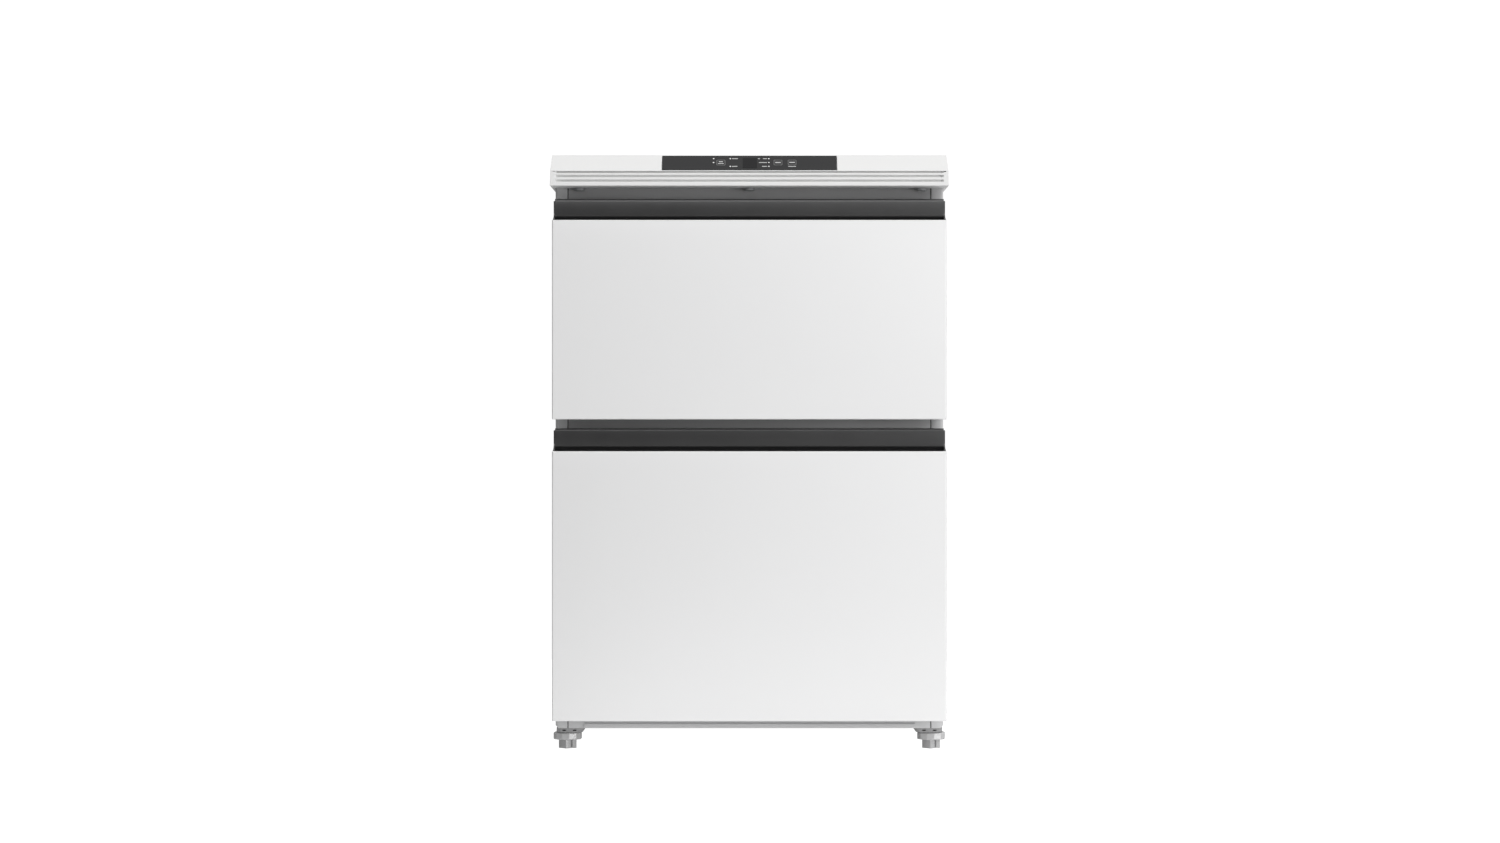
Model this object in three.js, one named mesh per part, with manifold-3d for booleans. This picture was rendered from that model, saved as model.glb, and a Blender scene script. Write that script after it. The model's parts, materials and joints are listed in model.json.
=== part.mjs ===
// Under counter fridge with two drawers.
// Millimetres, +Z up, front towards -Y, origin on the floor under the middle of the cabinet.
// Left and right are as a person standing in front of it sees them: left is -X.

import * as THREE from 'three';
import { mergeVertices } from 'three/addons/utils/BufferGeometryUtils.js';
import Module from 'manifold-3d';

const wasm = await Module();
wasm.setup();

// ---------------------------------------------------------------- driving dimensions

const HEIGHT = 850;
const DEPTH = 570;
const FRONT = -DEPTH / 2; // plane of the drawer fronts and of the worktop's front edge
const BACK = DEPTH / 2;
const GAP = 0.4; // clearance between pieces that touch on the real appliance
const SHEET = 1; // steel sheet
const SKIN = 2; // vacuum-formed plastic sheet

const LID = { half: 283, bottom: 805, slopeFoot: 826, slopeDepth: 29, skirt: 4, pocketTop: 840 };
const GROOVES = { half: 275.6, depth: 1.8, spans: [[810.4, 813.6], [816.8, 820.1], [822.9, 825.9]] };
const WORKTOP = { half: 272, front: -246, back: 275, thickness: 5, recess: 5.4 };
const OVERLAY = { half: 124, length: 36, thickness: 1.2, side: 0.6 };
const BOARD = { half: 104, halfLength: 11, thickness: 1.6, depth: 8, chamberHalf: 112, chamberDepth: 20 };

const CABINET = { half: 278, face: FRONT + 58, back: 275, bottom: 31, top: 812, flange: 18 };
const FOAM_TOP = 838;
const OPENING_HALF = 235; // outside of the plastic liners
const LINER_BACK = 225;
const UPPER_LINER = { bottom: 492, top: 765 };
const LOWER_LINER = { bottom: 75, top: 440, step: 243, floorBack: 75, stepFront: 98 };
const MULLION = { bottom: 436, top: 496 };
const TOP_RAIL_BOTTOM = 761;
const BOTTOM_RAIL = { top: 80, lipHalf: 237, lipTop: 37, lipDepth: 2 };
const RAIL_LEG = 2.7;
const SEAM = 0.6; // at each end of a cross rail, against the side flange's fold
const AIR_DUCT = { half: 60, front: 192, back: 216 };

const MACHINE = { top: 205, wallFoot: 112, wallTop: 135 };
const TRAY = { front: 140, back: 272, thickness: 1.5, top: 33 };

const DRAWER = { half: 280, shell: 1.2, shellBack: -243.4, innerFront: -243.1, innerBack: -236, innerHalf: 278.6 };
const HANDLE = { half: 279, wall: 2.4, setBack: 28, undercut: 8, pocketDepth: 23.5, topRadius: 1.5, cap: 2 };
const PLUG = { half: 222, back: -214 };
const GASKET = { outer: 275, width: 12, back: CABINET.face - 0.3 };
const UPPER_DRAWER = { bottom: 473.5, panel: 283, handle: 29, plug: [26.5, 283.5], rim: 238.5, bin: 27.5 };
const LOWER_DRAWER = { bottom: 45.5, panel: 383, handle: 30, plug: [36.5, 386.5], rim: 346.5, bin: 38.5 };
const BIN = { half: 203, front: -208, back: 165, wall: 2.5, corner: 18, draft: 5, lip: 12 };
const LOWER_BIN = { deepBack: 66, shelf: 206.5, shelfFront: 30 };

const SLIDE = { wall: 1.2, outer: 232.6, fixedHalf: 17.5, middleHalf: 12.6, runnerHalf: 8.8 };
const SLIDE_Y = { fixed: [-208, 160], middle: [-209, 150], runner: [-212.4, 158] };

const FOOT = { x: 262, y: -197, side: 19, turn: -51, post: 13, flange: 20.5, flangeTop: 23, stem: 4, stemTop: 50 };
const BRACKET = { x: 259, top: 30.6, bottom: 23.5, halfTop: 24, halfBottom: 19 };
const ROLLER = { x: 240, y: 238, radius: 15, width: 14, hole: 3.1, pin: 2.6 };

const COMPRESSOR = { x: -130, y: 206, radius: 52, stretch: 1.22, bottom: 46, top: 180 };
const CONDENSER = { x: [58, 236], y: [148, 250], z: [33.5, 150], fins: 14, fin: 1.6 };
const FAN = { x: 18, y: 200, z: 92, half: 58, depth: 16, ring: 52, blades: 5, blade: 48 };
const COLD_FAN = { y: 190, z: 682, ring: 46, blades: 5, blade: 42 };
const EVAPORATOR = { half: 180, y: [186, 214], z: [494.4, 590], fins: 12, fin: 1.6 };
const AIR_PANEL = { front: 176, thickness: 2.5 };

const ROUND = 24; // facets of a full turn
const ARC = 2; // divisions of a rounded corner

// ---------------------------------------------------------------- materials

const finish = (color, roughness, metalness = 0) =>
  new THREE.MeshStandardMaterial({ color, roughness, metalness });

const MATERIALS = {
  white: finish('#ededee', 0.3),
  lid: finish('#f1f1f0', 0.42),
  shell: finish('#b9bbbc', 0.4, 0.1),
  handle: finish('#3f4041', 0.5),
  overlay: finish('#2b2d2f', 0.15),
  liner: finish('#eceeef', 0.35),
  gasket: finish('#8b8d8f', 0.8),
  foam: finish('#d9c98f', 0.9),
  slide: finish('#b5b8ba', 0.3, 0.9),
  bin: finish('#dfe6ea', 0.25),
  foot: finish('#b7b9ba', 0.35, 0.2),
  roller: finish('#2a2a2b', 0.7),
  galvanised: finish('#9ea1a3', 0.45, 0.8),
  blackSteel: finish('#1d1e20', 0.4, 0.3),
  copper: finish('#b8734a', 0.35, 1),
  fins: finish('#c9ccce', 0.35, 0.9),
  blackPlastic: finish('#232426', 0.55),
  board: finish('#2c6e45', 0.5),
  greyPlastic: finish('#8f9294', 0.6),
};

// ---------------------------------------------------------------- solids

// A closed mesh as a manifold, without its normals, its seams and its empty triangles.
function toSolid(geometry) {
  const bare = geometry.clone();
  bare.deleteAttribute('normal');
  bare.deleteAttribute('uv');
  const merged = mergeVertices(bare, 1e-4);
  const triangles = [];
  for (let i = 0; i < merged.index.count; i += 3) {
    const [a, b, c] = [0, 1, 2].map((corner) => merged.index.getX(i + corner));
    if (a !== b && b !== c && c !== a) triangles.push(a, b, c);
  }
  return new wasm.Manifold(new wasm.Mesh({
    numProp: 3,
    vertProperties: new Float32Array(merged.attributes.position.array),
    triVerts: new Uint32Array(triangles),
  }));
}

function toGeometry(solid) {
  const mesh = solid.getMesh();
  const geometry = new THREE.BufferGeometry();
  geometry.setAttribute('position', new THREE.BufferAttribute(mesh.vertProperties, 3));
  geometry.setIndex(new THREE.BufferAttribute(mesh.triVerts, 1));
  geometry.computeVertexNormals();
  return geometry;
}

function join(...geometries) {
  return toGeometry(geometries.map(toSolid).reduce((whole, piece) => whole.add(piece)));
}

function cut(base, ...tools) {
  return toGeometry(tools.map(toSolid).reduce((whole, tool) => whole.subtract(tool), toSolid(base)));
}

// ---------------------------------------------------------------- shapes

function block([x0, x1], [y0, y1], [z0, z1]) {
  return new THREE.BoxGeometry(x1 - x0, y1 - y0, z1 - z0)
    .translate((x0 + x1) / 2, (y0 + y1) / 2, (z0 + z1) / 2);
}

const across = (half) => [-half, half];

// A closed outline through corners [a, b] or [a, b, radius].
function outline(corners) {
  const shape = new THREE.Shape();
  const points = corners.map(([a, b]) => new THREE.Vector2(a, b));
  points.forEach((point, i) => {
    const radius = corners[i][2];
    if (!radius) {
      if (i === 0) shape.moveTo(point.x, point.y);
      else shape.lineTo(point.x, point.y);
      return;
    }
    const before = points.at(i - 1).clone().sub(point).normalize();
    const after = points[(i + 1) % points.length].clone().sub(point).normalize();
    const half = Math.acos(THREE.MathUtils.clamp(before.dot(after), -1, 1)) / 2;
    const centre = before.clone().add(after).setLength(radius / Math.sin(half)).add(point);
    const reach = radius / Math.tan(half);
    const from = before.clone().multiplyScalar(reach).add(point).sub(centre);
    const to = after.clone().multiplyScalar(reach).add(point).sub(centre);
    const clockwise = before.cross(after) > 0;
    if (i === 0) shape.moveTo(centre.x + from.x, centre.y + from.y);
    shape.absarc(centre.x, centre.y, radius, from.angle(), to.angle(), clockwise);
  });
  shape.closePath();
  return shape;
}

// The outline of a bent sheet, whose thickness lies to the left of a path of corners.
function sheetOutline(path, thickness) {
  const points = path.map(([a, b]) => new THREE.Vector2(a, b));
  const leftOf = (from, to) => {
    const along = to.clone().sub(from).normalize();
    return new THREE.Vector2(-along.y, along.x);
  };
  const other = points.map((point, i) => {
    const first = leftOf(points[Math.max(i - 1, 0)], points[Math.max(i, 1)]);
    const last = points.length - 1;
    const second = leftOf(points[Math.min(i, last - 1)], points[Math.min(i + 1, last)]);
    const shift = first.clone().add(second).multiplyScalar(thickness / (1 + first.dot(second)));
    const turnsLeft = first.cross(second) > 0;
    const radius = path[i][2] ? Math.max(path[i][2] + (turnsLeft ? -thickness : thickness), 0) : 0;
    return [point.x + shift.x, point.y + shift.y, radius];
  });
  return outline([...path, ...other.reverse()]);
}

function extrude(shape, depth) {
  return new THREE.ExtrudeGeometry(shape, { depth, bevelEnabled: false, curveSegments: ARC });
}

// A shape drawn in Y and Z, drawn out along X.
function alongX(shape, [x0, x1]) {
  const turned = new THREE.Matrix4().set(0, 0, 1, x0, 1, 0, 0, 0, 0, 1, 0, 0, 0, 0, 0, 1);
  return extrude(shape, x1 - x0).applyMatrix4(turned);
}

// A shape drawn in X and Z, drawn out along Y.
function alongY(shape, [y0, y1]) {
  return extrude(shape, y1 - y0).rotateX(Math.PI / 2).translate(0, y1, 0);
}

// A shape drawn in X and Y, drawn out along Z.
function alongZ(shape, [z0, z1]) {
  return extrude(shape, z1 - z0).translate(0, 0, z0);
}

// A round bar between two heights, or the same bar turned along X or Y.
function bar(radius, [from, to], facets = ROUND) {
  return new THREE.CylinderGeometry(radius, radius, to - from, facets)
    .rotateX(Math.PI / 2).translate(0, 0, (from + to) / 2);
}
const barX = (radius, span, facets) => bar(radius, span, facets).rotateY(Math.PI / 2);
const barY = (radius, [y0, y1], facets) => bar(radius, [-y1, -y0], facets).rotateX(Math.PI / 2);

// A turned body about Z from a profile of [radius, height].
function turned(profile, facets = ROUND) {
  const points = profile.map(([radius, height]) => new THREE.Vector2(radius, height));
  return toGeometry(toSolid(new THREE.LatheGeometry(points, facets).rotateX(Math.PI / 2)));
}

// A closed body through loops with the same number of points, capped at both ends.
function loft(loops) {
  const count = loops[0].length;
  const index = [];
  for (let ring = 0; ring < loops.length - 1; ring += 1) {
    for (let i = 0; i < count; i += 1) {
      const a = ring * count + i;
      const b = ring * count + ((i + 1) % count);
      index.push(a, b, b + count, a, b + count, a + count);
    }
  }
  const last = (loops.length - 1) * count;
  for (let i = 1; i < count - 1; i += 1) {
    index.push(0, i + 1, i, last, last + i, last + i + 1);
  }
  const geometry = new THREE.BufferGeometry().setFromPoints(loops.flat());
  geometry.setIndex(index);
  geometry.computeVertexNormals();
  return geometry;
}

// A rectangle with rounded corners at a height, as a loop of points.
function rectangleLoop([x0, x1], [y0, y1], radius, z) {
  const corners = [[x1, y1, 0], [x0, y1, 1], [x0, y0, 2], [x1, y0, 3]];
  return corners.flatMap(([x, y, quarter]) => [0, 1, 2, 3].map((step) => {
    const angle = (quarter + step / 3) * Math.PI / 2;
    const centreX = x - Math.sign(x - (x0 + x1) / 2) * radius;
    const centreY = y - Math.sign(y - (y0 + y1) / 2) * radius;
    return new THREE.Vector3(centreX + radius * Math.cos(angle), centreY + radius * Math.sin(angle), z);
  }));
}

// A block of equal level fins joined by three upright spines, open from end to end along X.
function finBlock(xSpan, [y0, y1], [z0, z1], fins, fin) {
  const spine = (y1 - y0) / 9;
  const pitch = (z1 - z0 - fin) / (fins - 1);
  const bays = [[y0 + spine, (y0 + y1 - spine) / 2], [(y0 + y1 + spine) / 2, y1 - spine]];
  const through = [xSpan[0] - 1, xSpan[1] + 1];
  const openings = Array.from({ length: fins - 1 }, (_, i) => z0 + i * pitch + fin)
    .flatMap((low) => bays.map((bay) => block(through, bay, [low, low + pitch - fin])));
  return cut(block(xSpan, [y0, y1], [z0, z1]), ...openings);
}

// ---------------------------------------------------------------- assembly helpers

function piece(group, name, geometry, material) {
  const mesh = new THREE.Mesh(geometry, material);
  mesh.name = name;
  group.add(mesh);
  return mesh;
}

// The right-hand piece as drawn, and the left-hand one as its mirror image.
function pair(group, name, geometry, material) {
  piece(group, `${name}_right`, geometry, material);
  piece(group, `${name}_left`, geometry, material).scale.x = -1;
}

// ---------------------------------------------------------------- worktop and controls

const slope = new THREE.Vector2(LID.slopeDepth, HEIGHT - LID.slopeFoot);
const slopeAngle = slope.angle();

// A body drawn flat with its outer face at z = 0 and its lower edge at y = 0, laid on the sloped face.
function onSlope(geometry) {
  return geometry.rotateX(slopeAngle).translate(0, FRONT, LID.slopeFoot);
}

function topCover() {
  const [top, foot] = [HEIGHT, LID.slopeFoot];
  const section = outline([
    [FRONT, LID.bottom, 1], [FRONT, foot, 1.5], [FRONT + LID.slopeDepth, top, 2],
    [BACK, top, 2], [BACK, LID.bottom, 1],
  ].reverse());
  const body = alongX(section, across(LID.half));
  const inside = LID.half - LID.skirt;
  const cabinetPocket = block(across(inside), [CABINET.face - 0.6, BACK - LID.skirt], [0, LID.pocketTop]);
  const worktopRecess = block(
    across(WORKTOP.half + GAP), [WORKTOP.front - GAP, WORKTOP.back + GAP], [top - WORKTOP.recess, top + 5]);
  const grooves = GROOVES.spans.map(([low, high]) => alongX(
    outline([[FRONT - 1, low - 0.2], [FRONT + GROOVES.depth, low + 0.5],
      [FRONT + GROOVES.depth, high - 0.5], [FRONT - 1, high + 0.2]]), across(GROOVES.half)));
  const length = slope.length();
  const overlayRecess = onSlope(block(
    across(OVERLAY.half + OVERLAY.side), [length - OVERLAY.length - GAP, length + 3], [-OVERLAY.thickness - 0.3, 4]));
  const chamber = onSlope(block(
    across(BOARD.chamberHalf), [length / 2 - 13, length / 2 + 11], [-BOARD.chamberDepth, 0]));
  return cut(body, cabinetPocket, worktopRecess, ...grooves, overlayRecess, chamber);
}

function controls(group) {
  const length = slope.length();
  const overlay = block(across(OVERLAY.half), [length - OVERLAY.length, length - 0.5], [-OVERLAY.thickness, 0]);
  piece(group, 'control_overlay', onSlope(overlay), MATERIALS.overlay);
  const middle = length / 2 - 1;
  const board = block(across(BOARD.half), [middle - BOARD.halfLength, middle + BOARD.halfLength],
    [-BOARD.depth - BOARD.thickness, -BOARD.depth]);
  piece(group, 'control_board', onSlope(board), MATERIALS.board);
}

function worktop(group) {
  piece(group, 'top_cover', topCover(), MATERIALS.lid);
  const base = HEIGHT - WORKTOP.thickness;
  const panel = alongZ(outline([
    [-WORKTOP.half, WORKTOP.front, 3], [WORKTOP.half, WORKTOP.front, 3],
    [WORKTOP.half, WORKTOP.back, 3], [-WORKTOP.half, WORKTOP.back, 3]]), [base, HEIGHT]);
  piece(group, 'worktop_panel', panel, MATERIALS.lid);
  controls(group);
}

// ---------------------------------------------------------------- cabinet

const linerInside = OPENING_HALF - SKIN;

function lowerLinerOutline(grow) {
  const { bottom, top, step, floorBack, stepFront } = LOWER_LINER;
  const front = CABINET.face + 3 - (grow > 0 ? 0 : 10);
  return outline([
    [front, bottom - grow], [floorBack + grow, bottom - grow], [stepFront + grow, step - grow],
    [LINER_BACK + grow, step - grow], [LINER_BACK + grow, top + grow], [front, top + grow]]);
}

function upperLinerOutline(grow) {
  const { bottom, top } = UPPER_LINER;
  const front = CABINET.face + 3 - (grow > 0 ? 0 : 10);
  return outline([
    [front, bottom - grow], [LINER_BACK + grow, bottom - grow],
    [LINER_BACK + grow, top + grow], [front, top + grow]]);
}

const airDuct = () => block(across(AIR_DUCT.half), [AIR_DUCT.front, AIR_DUCT.back], [MULLION.bottom, MULLION.top]);

// A plastic liner: a thin tub on its side, with a flange that runs out to the cabinet's side flanges.
function liner(sectionOf, [low, high]) {
  const outside = alongX(sectionOf(0.001), across(OPENING_HALF));
  const inside = alongX(sectionOf(-SKIN), across(linerInside));
  const reach = CABINET.half - CABINET.flange - GAP;
  const flange = block(across(reach), [CABINET.face + 1.5, CABINET.face + 1.5 + SKIN], [low, high]);
  return cut(join(outside, flange), inside, airDuct());
}

function stemHole(radius, span) {
  return bar(radius, span, 16).translate(FOOT.x, FOOT.y, 0);
}

const mirrored = (geometry) => toGeometry(toSolid(geometry).mirror([1, 0, 0]));

function cabinetFoam() {
  const half = CABINET.half - SHEET - SHEET - 2 * GAP;
  const back = CABINET.back - 2 * SHEET - 2 * GAP;
  const front = CABINET.face + SHEET + GAP;
  const low = CABINET.bottom + SHEET + 2 * GAP;
  const body = alongX(outline([
    [front, low], [MACHINE.wallFoot, low], [MACHINE.wallTop, MACHINE.top],
    [back, MACHINE.top], [back, FOAM_TOP], [front, FOAM_TOP]]), across(half));
  const cavities = [
    alongX(upperLinerOutline(GAP), across(OPENING_HALF + GAP)),
    alongX(lowerLinerOutline(GAP), across(OPENING_HALF + GAP)),
  ];
  const { bottom: upperLow, top: upperHigh } = UPPER_LINER;
  const { bottom: lowerLow, top: lowerHigh } = LOWER_LINER;
  const flangeSeats = [[upperLow, upperHigh], [lowerLow, lowerHigh]].map(([z0, z1]) => block(
    across(half + 1), [front - 2, CABINET.face + 1.5 + SKIN + GAP], [z0 - GAP, z1 + GAP]));
  const flangeFolds = [-1, 1].map((side) => block(
    [side * 266, side * 256].sort((a, b) => a - b), [front - 2, CABINET.face + 10], [low - 1, FOAM_TOP + 1]));
  const stems = stemHole(7, [CABINET.bottom, FOOT.stemTop + 8]);
  return cut(body, ...cavities, ...flangeSeats, ...flangeFolds, airDuct(), stems, mirrored(stems));
}

function sidePanel() {
  const { half, face, back, flange, bottom, top } = CABINET;
  const plan = sheetOutline([
    [half - flange + 0.3, face + 8], [half - flange + 0.3, face, 1.2], [half, face, 3.5],
    [half, back, 2], [half - 16, back]], SHEET);
  const chamfer = new THREE.BoxGeometry(6, DEPTH, 6).rotateY(Math.PI / 4).translate(half, 0, bottom);
  return cut(alongZ(plan, [bottom, top]), chamfer);
}

// A cross rail of folded sheet on the cabinet's face, between two heights.
function crossRail(low, high, legs) {
  const leg = CABINET.face + RAIL_LEG;
  const path = [[CABINET.face, high, legs.top ? 1.2 : 0], [CABINET.face, low, legs.bottom ? 1.2 : 0]];
  if (legs.top) path.unshift([leg, high]);
  if (legs.bottom) path.push([leg, low]);
  return alongX(sheetOutline(path, SHEET), across(CABINET.half - CABINET.flange - SEAM));
}

function bottomRail() {
  const { top, lipHalf, lipTop, lipDepth } = BOTTOM_RAIL;
  const { face, bottom } = CABINET;
  const lip = alongX(outline([
    [face - lipDepth, bottom], [face + SHEET / 2, bottom], [face + SHEET / 2, lipTop + lipDepth],
    [face - 0.2, lipTop + lipDepth], [face - lipDepth, lipTop]]), across(lipHalf));
  return join(crossRail(bottom, top, { top: true, bottom: false }), lip);
}

function basePan() {
  const half = CABINET.half - SHEET - GAP;
  const low = CABINET.bottom + 0.3;
  const section = sheetOutline([[-half, low + 30], [-half, low, 2], [half, low, 2], [half, low + 30]], SHEET);
  const pan = alongY(section, [CABINET.face + 8.5, MACHINE.wallFoot - 2]);
  const hole = stemHole(5.5, [0, 60]);
  return cut(pan, hole, mirrored(hole));
}

function backPanel() {
  const y1 = CABINET.back - SHEET - GAP;
  return block(across(CABINET.half - 4), [y1 - SHEET, y1], [MACHINE.top + 14, CABINET.top]);
}

// The lower rear cover with its rows of air slots.
function rearGrille() {
  const y0 = CABINET.back + 0.3;
  const plate = block(across(CABINET.half - 6), [y0, y0 + 1.5], [CABINET.bottom + 5, MACHINE.top + 26]);
  const slots = [];
  for (let row = 0; row < 9; row += 1) {
    for (const centre of [-190, -95, 0, 95]) {
      const z = 58 + row * 14;
      slots.push(block([centre - 38, centre + 38], [y0 - 2, y0 + 4], [z, z + 5]));
    }
  }
  const inletHole = block([201, 231], [y0 - 2, y0 + 4], [138, 162]);
  return cut(plate, ...slots, inletHole);
}

function powerInlet() {
  const y0 = CABINET.back + 0.3;
  const body = block([201.5, 230.5], [y0 - 22, y0 + 1.8], [138.5, 161.5]);
  const rim = block([196, 236], [y0 + 1.8, y0 + 4.4], [134, 166]);
  const socket = block([204, 228], [y0 - 14, y0 + 6], [142, 158]);
  const pins = [208, 216, 224].map((x, i) => block([x - 1, x + 1], [y0 - 15, y0 - 1], i === 1 ? [151, 155] : [145, 149]));
  return join(cut(join(body, rim), socket), ...pins);
}

function cabinet(group) {
  piece(group, 'cabinet_foam', cabinetFoam(), MATERIALS.foam);
  pair(group, 'side_panel', sidePanel(), MATERIALS.shell);
  piece(group, 'back_panel', backPanel(), MATERIALS.galvanised);
  piece(group, 'base_pan', basePan(), MATERIALS.galvanised);
  piece(group, 'rear_grille', rearGrille(), MATERIALS.galvanised);
  piece(group, 'power_inlet', powerInlet(), MATERIALS.blackPlastic);
  piece(group, 'mullion_rail', crossRail(MULLION.bottom, MULLION.top, { top: true, bottom: true }), MATERIALS.shell);
  piece(group, 'top_rail', crossRail(TOP_RAIL_BOTTOM, CABINET.top, { top: false, bottom: true }), MATERIALS.shell);
  piece(group, 'bottom_rail', bottomRail(), MATERIALS.shell);
  const upperFlange = [MULLION.top + GAP, TOP_RAIL_BOTTOM - GAP];
  const lowerFlange = [BOTTOM_RAIL.top + GAP, MULLION.bottom - GAP];
  piece(group, 'upper_liner', liner(upperLinerOutline, upperFlange), MATERIALS.liner);
  piece(group, 'lower_liner', liner(lowerLinerOutline, lowerFlange), MATERIALS.liner);
}

// ---------------------------------------------------------------- drawers

// The grip runs across the top of a drawer front: a set-back wall, undercut at its foot, over a trough
// for the fingers.
function handleChannel(panel, height) {
  const wallY = FRONT + HANDLE.setBack;
  const top = panel + height;
  const trough = panel - HANDLE.pocketDepth;
  const innerY = wallY + HANDLE.undercut + 0.2;
  const section = sheetOutline([
    [DRAWER.shellBack, top], [wallY, top, HANDLE.topRadius], [wallY, panel + 0.5, HANDLE.undercut],
    [innerY, panel + 0.5], [innerY, trough, 6],
    [FRONT + 5.5, trough, 5], [FRONT + 4, panel - DRAWER.shell - 0.3]], HANDLE.wall);
  const channel = alongX(section, across(HANDLE.half));
  const cap = outline([
    [DRAWER.shellBack, top - 0.4], [wallY + 0.4, top - 0.4, 1.2], [wallY + 0.4, panel + 6, 5], [FRONT + 4.7, panel + 1],
    [FRONT + 4.7, panel - DRAWER.shell - 0.4], [FRONT + 2, panel - DRAWER.shell - 0.4],
    [FRONT + 2, trough - 1.5, 4], [DRAWER.shellBack, trough - 1.5]]);
  const caps = [[-HANDLE.half, HANDLE.cap - HANDLE.half], [HANDLE.half - HANDLE.cap, HANDLE.half]]
    .map((span) => alongX(cap, span));
  return join(channel, ...caps);
}

// The outer skin: a pan with a rounded front face, and a short return under the grip.
function frontPanel(panel) {
  const { half, shell, shellBack } = DRAWER;
  const outerFace = outline([[-half, 0, 2], [half, 0, 2], [half, panel, 2], [-half, panel, 2]]);
  const body = alongY(outerFace, [FRONT, shellBack]);
  const inside = block(across(half - shell), [FRONT + shell, shellBack + 5], [shell, panel - shell]);
  const grip = block(across(half - shell), [FRONT + 4.2, shellBack + 5], [panel - 5, panel + 5]);
  const notches = [-1, 1].flatMap((side) => [[shell, panel - shell], [4.2, panel + 1]].map(([inset, high]) => block(
    [side * half - 5, side * half + 5], [FRONT + inset, shellBack + 5],
    [panel - HANDLE.pocketDepth - 4.5, high])));
  return cut(body, inside, grip, ...notches);
}

// The foam core behind the skin, notched for the grip, with a boss that fills the inner door.
function frontCore(panel, height, plug) {
  const { half, shell, innerFront, innerBack, innerHalf } = DRAWER;
  const lowered = panel - HANDLE.pocketDepth - HANDLE.wall - GAP;
  const behindGrip = FRONT + HANDLE.setBack + HANDLE.wall + GAP;
  const main = block(across(half - shell - GAP), [FRONT + shell + GAP, innerFront - 0.3], [shell + GAP, lowered]);
  const wallFoot = panel + 0.5 + HANDLE.undercut + 0.1;
  const ceiling = panel + 0.5 + HANDLE.wall + GAP;
  const neckSteps = [
    [behindGrip, wallFoot, panel + height - HANDLE.wall - 1.5],
    [FRONT + HANDLE.setBack + HANDLE.undercut, ceiling, wallFoot + 0.5],
    [behindGrip + HANDLE.undercut + 0.2, lowered - 1, ceiling + 0.5],
  ].map(([front, low, high]) => block(
    across(HANDLE.half - HANDLE.cap - GAP), [front, innerFront - 0.3], [low, high]));
  const seat = block(across(innerHalf - SKIN - GAP), [innerFront - 1, innerBack - SKIN - GAP],
    [1.3 + SKIN + GAP, panel + height - 2.7 - GAP]);
  const bossInset = SKIN + 3;
  const boss = block(across(PLUG.half - bossInset), [innerBack - SKIN - GAP - 1, PLUG.back - SKIN - GAP],
    [plug[0] + bossInset, plug[1] - bossInset]);
  return join(main, ...neckSteps, seat, boss);
}

// The inner door: one formed sheet, with a rim to the front and a raised panel into the opening.
function innerDoor(panel, height, plug) {
  const { innerFront, innerBack, innerHalf } = DRAWER;
  const [low, high] = [1.3, panel + height - 0.3];
  const plate = block(across(innerHalf), [innerFront, innerBack], [low, high]);
  const panelShape = (inset) => outline([
    [-PLUG.half + inset, plug[0] + inset, 10 - inset], [PLUG.half - inset, plug[0] + inset, 10 - inset],
    [PLUG.half - inset, plug[1] - inset, 10 - inset], [-PLUG.half + inset, plug[1] - inset, 10 - inset]]);
  const raised = alongY(panelShape(0), [innerBack - 1, PLUG.back]);
  const plateHollow = block(across(innerHalf - SKIN), [innerFront - 1, innerBack - SKIN], [low + SKIN, high - SKIN]);
  const raisedHollow = alongY(panelShape(SKIN), [innerFront - 1, PLUG.back - SKIN]);
  return cut(join(plate, raised), plateHollow, raisedHollow);
}

function gasket(panel, height) {
  const { outer, width, back } = GASKET;
  const [low, high] = [4.5, panel + height - 4];
  const ring = (inset, radius) => outline([
    [-outer + inset, low + inset, radius], [outer - inset, low + inset, radius],
    [outer - inset, high - inset, radius], [-outer + inset, high - inset, radius]]);
  const shape = ring(0, 6);
  shape.holes.push(ring(width, 3));
  return alongY(shape, [DRAWER.innerBack + 0.3, back]);
}

// The rail on the liner's wall: a channel with turned-in lips, open towards the drawer.
function fixedRail(height) {
  const { outer, wall, fixedHalf } = SLIDE;
  const section = sheetOutline([
    [outer - 10, height - fixedHalf + 4], [outer - 10, height - fixedHalf], [outer, height - fixedHalf],
    [outer, height + fixedHalf], [outer - 10, height + fixedHalf], [outer - 10, height + fixedHalf - 4]], wall);
  return alongY(section, SLIDE_Y.fixed);
}

// The rail between the two, which runs out half as far as the drawer.
function middleRail(height) {
  const web = SLIDE.outer - 3;
  const { middleHalf, wall } = SLIDE;
  const section = sheetOutline([
    [web - 8.4, height - middleHalf], [web, height - middleHalf],
    [web, height + middleHalf], [web - 8.4, height + middleHalf]], wall);
  return alongY(section, SLIDE_Y.middle);
}

// The drawer's own rail, with a ledge that carries the bin's rim and a tab on the inner door.
function drawerRunner(height) {
  const web = SLIDE.outer - 13.2;
  const { runnerHalf, wall } = SLIDE;
  const [front, back] = SLIDE_Y.runner;
  const channel = alongY(sheetOutline([
    [web + 7.6, height + runnerHalf], [web, height + runnerHalf],
    [web, height - runnerHalf], [web + 7.6, height - runnerHalf]], wall), [front, back]);
  const ledge = block([web - 12, web + 1], [front, back - 5], [height - runnerHalf, height - runnerHalf + wall]);
  const tab = block([web - 22, web + 1], [front - 1.2, front], [height - 24, height + 12]);
  return join(channel, ledge, tab);
}

// A tub with a turned-out lip, tapered towards its floor.
function tub([x0, x1], [y0, y1], [z0, z1]) {
  const { wall, corner, draft, lip } = BIN;
  const loop = (grow, z) => rectangleLoop([x0 - grow, x1 + grow], [y0 - grow, y1 + grow], corner + grow, z);
  return loft([
    loop(-draft, z0), loop(0, z1 - 3), loop(lip, z1 - 3), loop(lip, z1), loop(-wall, z1),
    loop(-draft - wall, z0 + wall)]);
}

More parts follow.
